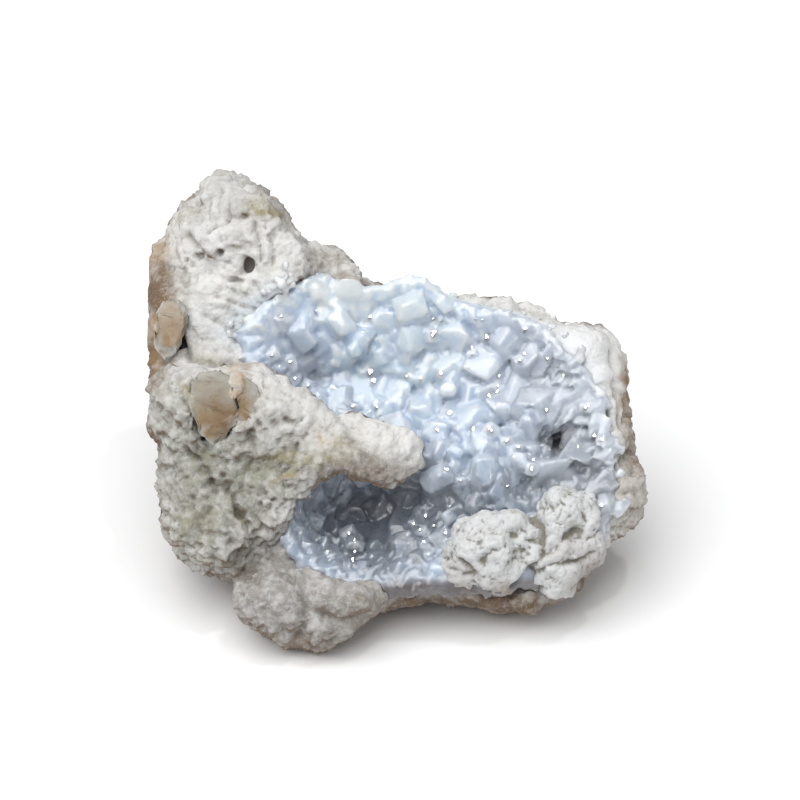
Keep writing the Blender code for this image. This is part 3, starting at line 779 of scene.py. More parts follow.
def read_points(mesh: bpy.types.Mesh, what: str = "co") -> np.ndarray:
    """Positions or normals of a mesh's points, as an array of rows."""
    out = np.zeros(len(mesh.vertices) * 3, np.float32)
    mesh.vertices.foreach_get(what, out)
    return out.reshape(-1, 3).astype(float)


def write_points(mesh: bpy.types.Mesh, points: np.ndarray) -> None:
    """Move a mesh's points."""
    mesh.vertices.foreach_set("co", points.astype(np.float32).ravel())
    mesh.update()


def edge_pairs(mesh: bpy.types.Mesh) -> np.ndarray:
    """The two ends of each edge of a mesh."""
    out = np.zeros(len(mesh.edges) * 2, np.int32)
    mesh.edges.foreach_get("vertices", out)
    return out.reshape(-1, 2)


def averaged(values: np.ndarray, pairs: np.ndarray, rounds: int, share: float = 1.0) -> np.ndarray:
    """Values at points, eased towards their neighbours' mean a number of times.

    Args:
        values: One row for each point.
        pairs: The ends of each edge.
        rounds: How many times to ease.
        share: How far each round goes to the mean.

    Returns:
        The eased values.
    """
    count = np.bincount(pairs.ravel(), minlength=len(values)).astype(float)
    count = np.maximum(count, 1.0)[:, None]
    now = values.copy()
    for _ in range(rounds):
        total = np.zeros_like(now)
        for column in range(now.shape[1]):
            total[:, column] = np.bincount(
                pairs[:, 0], now[pairs[:, 1], column], len(now)
            ) + np.bincount(pairs[:, 1], now[pairs[:, 0], column], len(now))
        now += (total / count - now) * share
    return now


def remeshed(node: str, name: str, voxel: float) -> bpy.types.Mesh:
    """An even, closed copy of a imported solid.

    Args:
        node: The solid's name.
        name: The new mesh's name.
        voxel: Size of its faces in millimetres.

    Returns:
        The new mesh.
    """
    source = bmesh.new()
    source.from_mesh(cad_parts[node].data)
    bmesh.ops.remove_doubles(source, verts=source.verts, dist=1e-6)
    plain = bpy.data.meshes.new(name + "_plain")
    source.to_mesh(plain)
    source.free()
    return evened(link(name + "_plain", plain), name, voxel)


def evened(
    holder: bpy.types.Object, name: str, voxel: float, merged: float = 0.0
) -> bpy.types.Mesh:
    """Turn an object's mesh into one of even faces, and remove the object.

    Args:
        holder: The object.
        name: The new mesh's name.
        voxel: Size of its faces in millimetres.
        merged: How readily flat places are made of fewer, larger faces, from 0 to 1.

    Returns:
        The new mesh.
    """
    remesh = holder.modifiers.new("even", "REMESH")
    remesh.mode = "VOXEL"
    remesh.voxel_size = voxel * MM
    remesh.adaptivity = merged
    graph = bpy.context.evaluated_depsgraph_get()
    mesh = bpy.data.meshes.new_from_object(holder.evaluated_get(graph))
    mesh.name = name
    plain = holder.data
    bpy.data.objects.remove(holder)
    bpy.data.meshes.remove(plain)
    return mesh


def refined(mesh: bpy.types.Mesh, chosen: np.ndarray) -> None:
    """Split the faces whose points are all chosen into four."""
    work = bmesh.new()
    work.from_mesh(mesh)
    work.verts.ensure_lookup_table()
    edges = {
        edge
        for face in work.faces
        if all(chosen[vert.index] for vert in face.verts)
        for edge in face.edges
    }
    bmesh.ops.subdivide_edges(work, edges=list(edges), cuts=1, use_grid_fill=True)
    work.to_mesh(mesh)
    work.free()
    mesh.update()


def sampled(points: np.ndarray, rule: Callable[[Vector], float]) -> np.ndarray:
    """A rule's value at each point."""
    return np.fromiter((rule(Vector(p)) for p in points.tolist()), float, len(points))


def wandering(places: np.ndarray, step: float, count: int = 3) -> np.ndarray:
    """A few values of smooth noise at each place, each taken a step further on."""
    return np.stack([sampled(places + k * step, noise.noise) for k in range(count)], axis=1)


def domes(points: np.ndarray, size: float, top: float, fall: float) -> np.ndarray:
    """Height of rounded lumps round scattered points.

    Args:
        points: Where to measure, in millimetres.
        size: How far apart the lumps' middles are.
        top: Height at their middles.
        fall: How much lower it is one size away.

    Returns:
        The heights.
    """
    near = sampled(points / size, lambda place: noise.voronoi(place)[0][0])
    return top - near**2 * fall


def facets(points: np.ndarray, size: float, tilt: float) -> np.ndarray:
    """Height of broken flat faces: each cell of the rock tilts its own way.

    Args:
        points: Where to measure, in millimetres.
        size: How far apart the cells' middles are.
        tilt: Slope of the faces.

    Returns:
        The heights, about zero, as shares of the size.
    """
    height = np.empty(len(points))
    for row, p in enumerate((points / size).tolist()):
        place = Vector(p)
        near, middles = noise.voronoi(place)
        levels = []
        for middle in middles[:2]:
            lean = noise.cell_vector(middle * 17.3) * 2.0 - Vector((1.0, 1.0, 1.0))
            levels.append(lean.z * 0.22 + tilt * lean.dot(place - middle))
        share = min(1.0, (near[1] - near[0]) / 0.22)
        height[row] = levels[0] * (0.5 + share * 0.5) + levels[1] * (0.5 - share * 0.5)
    return height


def boxed(points: np.ndarray) -> np.ndarray:
    """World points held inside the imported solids' box."""
    low, high = (np.array(corner) for corner in CAD_BOX)
    return np.clip(points, low, high)


def soften(mesh: bpy.types.Mesh, rounds: int, normal_rounds: int) -> np.ndarray:
    """Ease the flat facets of a mesh away.

    Args:
        mesh: The mesh, whose points are moved.
        rounds: How many times its points are eased.
        normal_rounds: How many times its normals are eased after that.

    Returns:
        The eased normals.
    """
    pairs = edge_pairs(mesh)
    write_points(mesh, averaged(read_points(mesh), pairs, rounds, SOFTENING))
    normals = averaged(read_points(mesh, "normal"), pairs, normal_rounds)
    return normals / np.maximum(np.linalg.norm(normals, axis=1), 1e-9)[:, None]


def raise_points(
    mesh: bpy.types.Mesh, base: np.ndarray, normals: np.ndarray, height: np.ndarray
) -> None:
    """Move a mesh's points out along their normals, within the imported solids' box.

    Args:
        mesh: The mesh.
        base: Its points in the face frame.
        normals: Its normals in the world.
        height: How far each point goes, in millimetres.
    """
    turned = normals @ np.array(FACE.matrix)
    write_points(mesh, boxed(FACE.to_world(base + turned * height[:, None])))


@dataclass(frozen=True)
class Dips:
    """How crevices are found: rounds of easing for near and far ones, and the step's ends."""

    near: int
    far: int
    far_share: float
    low: float
    high: float
    near_share: float = 1.3

    def paint(self, mesh: bpy.types.Mesh) -> None:
        """Paint how deep each point lies below its surroundings."""
        points = read_points(mesh)
        normals = read_points(mesh, "normal")
        pairs = edge_pairs(mesh)
        near, far = (
            ((averaged(points, pairs, rounds) - points) * normals).sum(axis=1) / MM
            for rounds in (self.near, self.far)
        )
        depth = near * self.near_share + far * self.far_share
        paint_mesh(mesh, Paint.CAVITY, smooth_step(self.low, self.high, depth))


def dressed(name: str, mesh: bpy.types.Mesh, material: bpy.types.Material) -> bpy.types.Object:
    """Give a finished mesh its material, and put it into the scene, shaded smooth."""
    mesh.materials.append(material)
    mesh.shade_smooth()
    return link(name, mesh)


@dataclass(frozen=True)
class Zone:
    """How rough one part of the rock is: heights in millimetres of each kind of relief."""

    patch: Patch
    crag: float
    boulder: float
    knob: float
    grain: float


@dataclass
class HostRock:
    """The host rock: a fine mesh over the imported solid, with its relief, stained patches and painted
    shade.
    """

    voxel: float = 0.66
    smooth_rounds: int = 7
    swell: float = 0.4
    bend: float = 1.4
    ridge_stretch: tuple[float, float, float] = (0.13, 0.095, 0.13)
    ridge_share: float = 0.36
    facet_tilt: float = 0.9
    crag_size: float = 4.2
    crag_facets: float = 1.35
    boulder_size: float = 4.6
    knob_size: float = 2.2
    chip_size: float = 1.9
    grain_size: float = 0.95
    dust_size: float = 0.8
    dips: Dips = Dips(3, 14, 0.6, 0.04, 0.6)
    zones: tuple[Zone, ...] = areas(
        Zone,
        (-26, 26.5, 10, 11, 0.85, 0.35, 0.4, 0.26), (-28, 12.5, 9, 6, 0.45, 0.3, 0.1, 0.1),
        (-18, 1, 8, 5, 0.45, 0.3, 0.35, 0.16), (-28, -12.7, 11, 13, 0.7, 0.9, 1, 0.4),
        (-4, -8, 9, 5, 0.3, 0.35, 0.3, 0.18), (-14.3, -33.3, 12, 6, 0.9, 0.8, 0.3, 0.2),
        (30, 6.3, 7, 7, 0.35, 0.3, 0.1, 0.1), (35.2, -14.3, 5, 10, 0.7, 0.4, 0.6, 0.3),
        (11, -32.2, 16, 3, 0.7, 0.6, 0.3, 0.2),
    )
    back: Zone = Zone(Patch((0.0, 0.0), (1.0, 1.0)), 0.9, 1.1, 0.5, 0.3)
    zone_floor: float = 0.06
    reliefs: tuple[Patch | Groove, ...] = (
        # the peak: cap, pale boulder, pits and upright ridges
        *ovals(
            (-28.6, 35.4, 2.4, 2.2, 0.5), (-28.2, 25.4, 3, 2.4, 1.4, 25, 1.6),
            (-28.4, 23.6, 0.55, 0.55, -2.2, 0, 1.6), (-24.5, 21.9, 0.6, 0.9, -2.4, 12, 1.4),
            (-25.4, 20.6, 1.3, 0.6, -1, 50, 1.4), (-27.7, 30, 0.6, 1.5, -1.8, -10, 1.6),
            (-25.2, 29.4, 1.3, 0.8, -1.5, 20, 1.6), (-32.2, 22.9, 1.2, 0.6, -1.2, -20, 1.6),
            (-26.5, 19.2, 1.4, 0.5, -1.2, -10, 1.6),
        ),
        Groove(((-30.4, 27.0), (-29.4, 27.9), (-27.6, 28.5)), 0.5, -1.3),
        Groove(((-27.8, 34.4), (-26.4, 34.9), (-24.6, 33.4)), 0.5, -0.7),
        Groove(((-23.2, 28.4), (-22.6, 25.4), (-22.4, 22.4)), 0.45, -0.6),
        Groove(((-21.9, 28.0), (-21.3, 25.0), (-21.4, 22.0)), 0.5, 0.5),
        Groove(((-20.9, 26.6), (-20.3, 24.0), (-20.4, 21.6)), 0.4, -0.4),
        Groove(((-34.0, 26.4), (-32.4, 24.4), (-31.0, 23.2)), 0.5, -0.9),
        Groove(((-36.4, 24.0), (-34.6, 20.4), (-34.0, 17.0)), 0.6, -0.8),
        # folds of the smooth middle and the line that parts it from the shelf
        Groove(((-29.4, 16.2), (-25.4, 15.0), (-22.2, 14.4), (-19.4, 16.2)), 0.5, -0.6),
        Groove(((-28.6, 15.0), (-25.0, 13.8), (-22.4, 13.2)), 0.8, 0.5),
        Groove(((-31.4, 13.6), (-28.4, 12.0), (-26.4, 9.6)), 0.6, -0.6),
        Groove(((-35.4, 9.6), (-33.4, 6.4), (-29.4, 5.9), (-22.4, 6.0)), 0.5, -1.2),
        # the shelf: blocks, dents and dark holes of its face
        *ovals(
            (-26.9, -7.4, 2.6, 1.9, 1.5, -5, 1.8), (-25.9, -10.6, 1.7, 1.1, 1.2, 0, 1.8),
            (-36.6, 0.6, 2, 2.6, 1, 0, 1.6), (-35, -3.6, 2.2, 1.6, -1, 0, 1.4),
            (-30.6, -6.6, 1.4, 2, -1.5, -25, 1.4), (-23.2, -6.2, 0.9, 1.5, -1.6, 10, 1.4),
            (-21.6, -7.8, 1, 2, 0.8, -12, 1.4), (-18.6, -10.6, 1.6, 1.2, -1.6, 0, 1.4),
            (-16.8, -7.6, 1.2, 0.9, -1, 30, 1.4), (-25.2, -17.8, 0.8, 1.4, -1.8, 35, 1.4),
            (-23.9, -19.4, 0.7, 0.7, -1.4, 0, 1.4), (-28.4, -20.4, 1.1, 2.4, 1.2, 12, 1.6),
            (-25.2, -21.4, 1.5, 1.8, 1.1, 0, 1.6), (-34.4, -20.2, 1.8, 2, 0.9, 0, 1.4),
            (-33.8, -13, 1.6, 1.5, 0.9, 0, 1.4),
        ),
        Groove(((-33.6, -8.4), (-31.4, -9.4), (-30.0, -11.6), (-29.0, -14.4)), 0.5, -1.2),
        Groove(((-37.2, -5.4), (-34.8, -6.2), (-33.4, -8.2)), 0.45, -0.9),
        Groove(((-18.6, -2.8), (-16.6, -4.0), (-15.6, -3.2)), 0.45, -0.9),
        Groove(((-12.4, -0.8), (-9.6, -3.2), (-6.4, -4.4)), 0.6, -0.6),
        # the tongue: a groove over its blunt end, a lip below
        Groove(((-8.0, -5.6), (-5.8, -8.6), (-3.4, -11.4)), 0.7, -0.9),
        *ovals((-1.6, -6.8, 3.6, 2.6, 0.7, 0, 1.2), (-9.4, -7.6, 2.2, 1, 0.6, -20, 1.2)),
        # the foot
        *ovals((-19, -31.6, 3.2, 2.6, 0.9, 0, 1.4), (-9.4, -31, 3, 1.8, 0.9, 0, 1.4)),
        Groove(((-16.6, -28.6), (-15.0, -32.4), (-15.8, -37.0)), 0.7, -1.2),
        Groove(((-13.0, -33.0), (-9.6, -34.2), (-6.4, -33.4)), 0.6, -0.8),
        # the right-hand shoulder and its cracked edge
        Groove(((34.0, 7.4), (34.2, 2.4), (35.2, -3.4), (36.4, -9.4)), 0.5, -1.1),
        Groove(((35.6, 1.0), (36.2, -4.0), (37.2, -9.0)), 0.4, -0.9),
        Patch((30.6, 8.0), (2.0, 1.4), 0.4, 0.0, 1.2),
    )
    stains_and_shade: dict[Paint, tuple[Patch, ...]] = field(
        default_factory=lambda: {
            Paint.OLIVE: ovals(
                (-22.8, 30.7, 1.6, 1.2, 0.55, -30), (-20.6, 30.2, 1.4, 1, 0.75),
                (-24.3, 31.2, 0.7, 1.4, 0.5, 20), (-34.6, 29.6, 2.4, 1, 0.4, 40),
                (-33.2, 1.2, 1.3, 1.6, 0.9, 20), (-19, -8.6, 1.6, 1.2, 0.75, 10),
                (-16.8, -8.8, 1.1, 0.8, 0.95), (-17.6, -11.4, 2, 0.7, 0.7, 25),
                (-8.8, -7.4, 3.2, 1, 0.6, -18), (-12, -9.2, 3, 0.9, 0.65, 0),
                (-24.8, -18.4, 1, 1.6, 0.8, 35), (-31, -18.6, 2.6, 1.2, 0.45, 20),
                (-30.4, 6.6, 3.4, 0.8, 0.4, -20), (-37.6, 21.6, 1, 2.6, 0.3),
                (35, -0.6, 0.8, 4, 0.4),
            ),
            Paint.RUST: ovals(
                (-38.2, 9.6, 1.6, 4.4, 0.7, -12), (-37.6, 12.6, 2, 1.6, 0.5),
                (-25.2, 0.6, 2, 2.6, 0.75), (-24.6, -1.4, 1.5, 1.4, 0.5),
                (-26.4, 4.4, 1.4, 0.8, 0.35), (-24.5, 2.4, 0.45, 0.45, 1),
                (-12.5, -5.9, 0.5, 0.8, 0.5, 15), (-18.8, -12.6, 2, 0.8, 0.25, 20),
                (-39.2, 24.2, 1.8, 2.6, 0.5), (36.2, 2, 1, 5, 0.35),
            ),
            Paint.MOSS: ovals(
                (-28.6, -12.5, 9.5, 11, 0.5), (-20, -11, 5, 4, 0.6), (-35.6, -2, 3, 4, 0.35),
                (-31.4, -9.4, 3, 3, 0.5), (-32.4, -21, 5, 4, 0.4), (-25.8, 17.6, 4, 1, 0.35),
                (-24.6, 13.4, 5, 2, 0.3), (35, -9.4, 2, 3, 0.3),
            ),
            # grey soot stains, and painted shade on the lower-left face, under the tongue, on the foot
            # and the lower lip
            Paint.SOOT: ovals(
                (-14.3, -34, 14, 6, 1.5), (-28.6, 36, 4, 3, 0.45), (-29, -12, 11, 12, 1.1),
                (36, -16, 4, 8, 0.3), (11, -33, 18, 2.5, 1), (-7.5, -10.9, 8, 2.6, 1.1),
                (-22, -26, 6, 4, 0.9), (-34, 30, 3, 6, 0.3), (-20.6, 33, 3, 6, 0.35, -40),
                (-25.4, 30.4, 3, 3, 0.3),
            ),
            Paint.CHALK: ovals(
                (29.4, 6, 6, 7, 1.1), (-25, 18.4, 6, 3, 0.4), (-17, 3.2, 7, 2.6, 0.35),
                (-26.5, -9, 2.4, 2.4, 0.6), (-28.6, 25.2, 3, 2.6, 0.4), (-0.6, -6, 4.6, 3.4, 0.35),
            ),
            Paint.CREAM: ovals(
                (-18, 1, 8, 5, 0.5), (-4, -7, 9, 4.6, 0.55), (-12, -8, 5, 3, 0.6),
                (-34.6, 21, 4, 9, 0.45), (-22, 31, 5, 4, 0.45), (-14.3, -33.3, 12, 6, 0.5),
                (31, 6.3, 7, 7, 0.4), (36.2, -15.3, 5, 9, 0.9), (-11, 22, 6, 3, 0.5),
            ),
            Paint.ICE: ovals(
                (-23.4, 13.4, 4, 3, 0.8, 25), (-19, 16, 5, 3, 0.6, 25), (-27, 10.6, 4, 2.4, 0.4),
                (24, 8, 5, 3, 0.5), (28.6, 2.6, 4, 4, 0.4),
            ),
            # brown outer skin at the edges, and painted shade under the tongue, on the foot and the
            # lower lip
            Paint.SKIN: ovals(
                (-39.6, 12, 3.2, 10, 2.4), (-39.4, 22.6, 0.9, 2.4, 0.35), (37.2, 0, 1.7, 9, 1.2, 5),
                (11.4, -32.6, 17, 2.6, 1.3), (-15, -38.8, 5, 1.8, 0.7),
                (-25, -26.8, 4, 2, 0.55, -25), (-11.4, 22.4, 5, 2.4, 0.5),
                (-8.6, 18.9, 7, 0.9, 0.7, -12), (-19.4, 30.6, 1.2, 6, 0.6, 35),
                (-6.6, -11.4, 8, 2.2, 0.8), (30, -27.6, 6, 2, 0.9, 45), (36.6, -12, 2.4, 7, 0.35),
            ),
        }
    )

    def build(self, material: bpy.types.Material) -> bpy.types.Object:
        """Make the rock.

        Args:
            material: Its finish.

        Returns:
            The rock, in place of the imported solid.
        """
        mesh = remeshed("matrix", "host_rock", self.voxel)
        soften(mesh, self.smooth_rounds, 2)
        refined(mesh, self.seen(mesh))
        normals = soften(mesh, 2, 2)
        base = FACE.to_face(read_points(mesh))
        facing = normals @ np.array(FACE.matrix.col[2])
        raise_points(mesh, base, normals, self.relief(base, facing) + self.swell)
        self.colour(mesh, base, facing)
        return dressed("host_rock", mesh, material)

    def seen(self, mesh: bpy.types.Mesh) -> np.ndarray:
        """Which points are finely meshed: those that face the viewer outside the lining."""
        points = FACE.to_face(read_points(mesh))
        facing = read_points(mesh, "normal") @ np.array(FACE.matrix.col[2])
        covered = (HOLLOW.edge_distance(points) > 2.0) & (points[:, 2] < HOLLOW.wall(points) + 1.5)
        return (facing > 0.05) & ~covered

    def relief(self, points: np.ndarray, facing: np.ndarray) -> np.ndarray:
        """Height to raise each point by, in millimetres.

        Args:
            points: The points in the face frame.
            facing: How squarely each one faces the viewer, from -1 to 1.

        Returns:
            The heights.
        """
        front = smooth_step(-0.15, 0.3, facing)
        weights = [zone.patch.weight(points) * front for zone in self.zones]
        weights.append((1.0 - front) + self.zone_floor)
        zones = (*self.zones, self.back)
        total = sum(weights)
        crag, boulder, knob, grain = (
            sum(w * getattr(z, kind) for w, z in zip(weights, zones)) / total
            for kind in ("crag", "boulder", "knob", "grain")
        )
        warp = wandering(points / 5.0, 9.1)
        bent = points + warp * self.bend
        ridged = sampled(
            bent * self.ridge_stretch,
            lambda p: noise.ridged_multi_fractal(p, 1.0, 2.1, 4, 1.0, 2.0),
        )
        broken = facets(bent, self.crag_size, self.facet_tilt) * self.crag_facets
        height = crag * (ridged * self.ridge_share - 0.5 + broken)
        height += boulder * domes(bent, self.boulder_size, 0.45, 1.3)
        lumps = domes(bent + warp, self.knob_size, 0.4, 1.25)
        height += knob * (lumps + facets(bent, self.chip_size, self.facet_tilt) * 0.9)
        height += grain * (facets(points + 3.3, self.grain_size, 1.0) * 1.3)
        height += grain * 0.5 * sampled(points / self.dust_size, noise.noise)
        wavy = points + warp * np.array((0.5, 0.5, 0.0))
        height += front * summed(self.reliefs, wavy)
        return height * smooth_step(-1.0, 3.0, self.above_ground(points))

    def above_ground(self, points: np.ndarray) -> np.ndarray:
        """Height over the ground in millimetres."""
        return FACE.to_world(points)[:, 2] / MM

    def colour(self, mesh: bpy.types.Mesh, points: np.ndarray, facing: np.ndarray) -> None:
        """Paint the stained patches, the outer skin, painted shade on downward faces and the crevices on
        the finished mesh.
        """
        moved = points.copy()
        moved[:, :2] += wandering(points / 2.2, 5.7, 2) * 1.1
        front = smooth_step(-0.2, 0.25, facing)
        up = read_points(mesh, "normal")[:, 2]
        for paint, patches in self.stains_and_shade.items():
            value = front * np.clip(summed(patches, moved), 0.0, 1.0)
            if paint is Paint.SKIN:
                value = np.maximum(value, 1.0 - front * 0.9)
                value *= 0.9 + 0.4 * sampled(points / 5.0, noise.noise)
                # points that face down take the skin colour as painted shade
                value = np.maximum(value, 0.85 * smooth_step(0.1, -0.5, up))
            if paint is Paint.CREAM:
                value = np.maximum(value, 0.3 + 0.3 * sampled(points / 7.0 + 4.0, noise.noise))
            paint_mesh(mesh, paint, value)
        self.dips.paint(mesh)


@dataclass(frozen=True)
class Tablet:
    """One listed crystal: its middle, sizes in millimetres and leans in degrees."""

    middle: Point2
    width: float
    thickness: float
    length: float
    lean_across: float
    lean_up: float
    spin: float = 0.0
    frost: float = 0.25


@dataclass(frozen=True)
class Blade:
    """One long crystal that lies along the lining: its foot, its tip, width and rise of the tip."""

    foot: Point2
    tip: Point2
    width: float
    rise: float


@dataclass(frozen=True)
class Bed:
    """How the small crystals of one part of the lining grow."""

    patch: Patch
    width: float
    flat: float
    tall: float
    lean: Point2
    spread: float
    painted_shade: float
    frost: float


@dataclass(frozen=True)
class Shape:
    """One unit crystal: its points and its faces."""

    points: np.ndarray
    faces: list[tuple[int, ...]]


class CrystalShapes:
    """Unit crystals to place many times: width, thickness and length are all 1."""

    def __init__(self, seed: int, count: int) -> None:
        """Make a number of shapes from a start of the random draws."""
        self.draw = random.Random(seed)
        self.shapes = [self.shape() for _ in range(count)]

    def shape(self) -> Shape:
        """One crystal: a flat prism with cut corners and a roof-shaped, chipped tip."""
        draw = self.draw
        corner_x = draw.uniform(0.04, 0.3)
        corner_y = draw.uniform(0.04, 0.3)
        shoulder = draw.uniform(0.55, 0.84)
        ridge = draw.uniform(0.25, 0.8)
        offset = draw.uniform(-0.1, 0.1)
        ring = [(side * 0.5, end * (0.5 - corner_y)) for side in (-1, 1) for end in (-1, 1)]
        ring += [(side * (0.5 - corner_x), end * 0.5) for side in (-1, 1) for end in (-1, 1)]
        slope = draw.uniform(-0.14, 0.14)
        points = [Vector((x, y, 0.0)) for x, y in ring]
        points += [
            Vector((x * 0.97, y * 0.97, shoulder + slope * x + draw.uniform(-0.05, 0.05)))
            for x, y in ring
        ]
        tip_y = draw.uniform(-0.2, 0.2)
        points += [
            Vector((offset + side * ridge / 2, tip_y, 1.0 - max(0.0, side) * draw.random() * 0.12))
            for side in (-1, 1)
        ]
        work = bmesh.new()
        for point in points:
            work.verts.new(point)
        made = bmesh.ops.convex_hull(work, input=work.verts)
        loose = {e for e in made["geom_interior"] + made["geom_unused"]}
        bmesh.ops.delete(work, geom=[e for e in loose if isinstance(e, bmesh.types.BMVert)])
        bmesh.ops.dissolve_limit(
            work, angle_limit=math.radians(2.0), verts=work.verts, edges=work.edges
        )
        work.verts.index_update()
        made = Shape(
            np.array([v.co[:] for v in work.verts]),
            [tuple(v.index for v in f.verts) for f in work.faces],
        )
        work.free()
        return made

    def pick(self, draw: random.Random) -> Shape:
        """One of the shapes."""
        return self.shapes[draw.randrange(len(self.shapes))]


class Crowd:
    """Places on the face that are already used, kept in square cells."""

    def __init__(self, spacing: float, cell: float = 1.5, reach: int = 3) -> None:
        """Start with no place used.

        Args:
            spacing: How near two crystals may stand, as a share of their radii's sum.
            cell: Side of the cells in millimetres.
            reach: How many cells away others are looked for.
        """
        self.spacing = spacing
        self.cell = cell
        self.reach = reach
        self.used: dict[tuple[int, int], list[tuple[float, float, float]]] = {}

    def near(self, u: float, v: float, radius: float) -> bool:
        """Whether a crystal of this radius would stand too near another."""
        column, row = int(u // self.cell), int(v // self.cell)
        steps = range(-self.reach, self.reach + 1)
        for i, j in ((column + a, row + b) for a in steps for b in steps):
            for other_u, other_v, other in self.used.get((i, j), ()):
                least = (radius + other) * self.spacing
                if (other_u - u) ** 2 + (other_v - v) ** 2 < least * least:
                    return True
        return False

    def note(self, u: float, v: float, radius: float) -> None:
        """Remember a place as used."""
        self.used.setdefault((int(u // self.cell), int(v // self.cell)), []).append((u, v, radius))


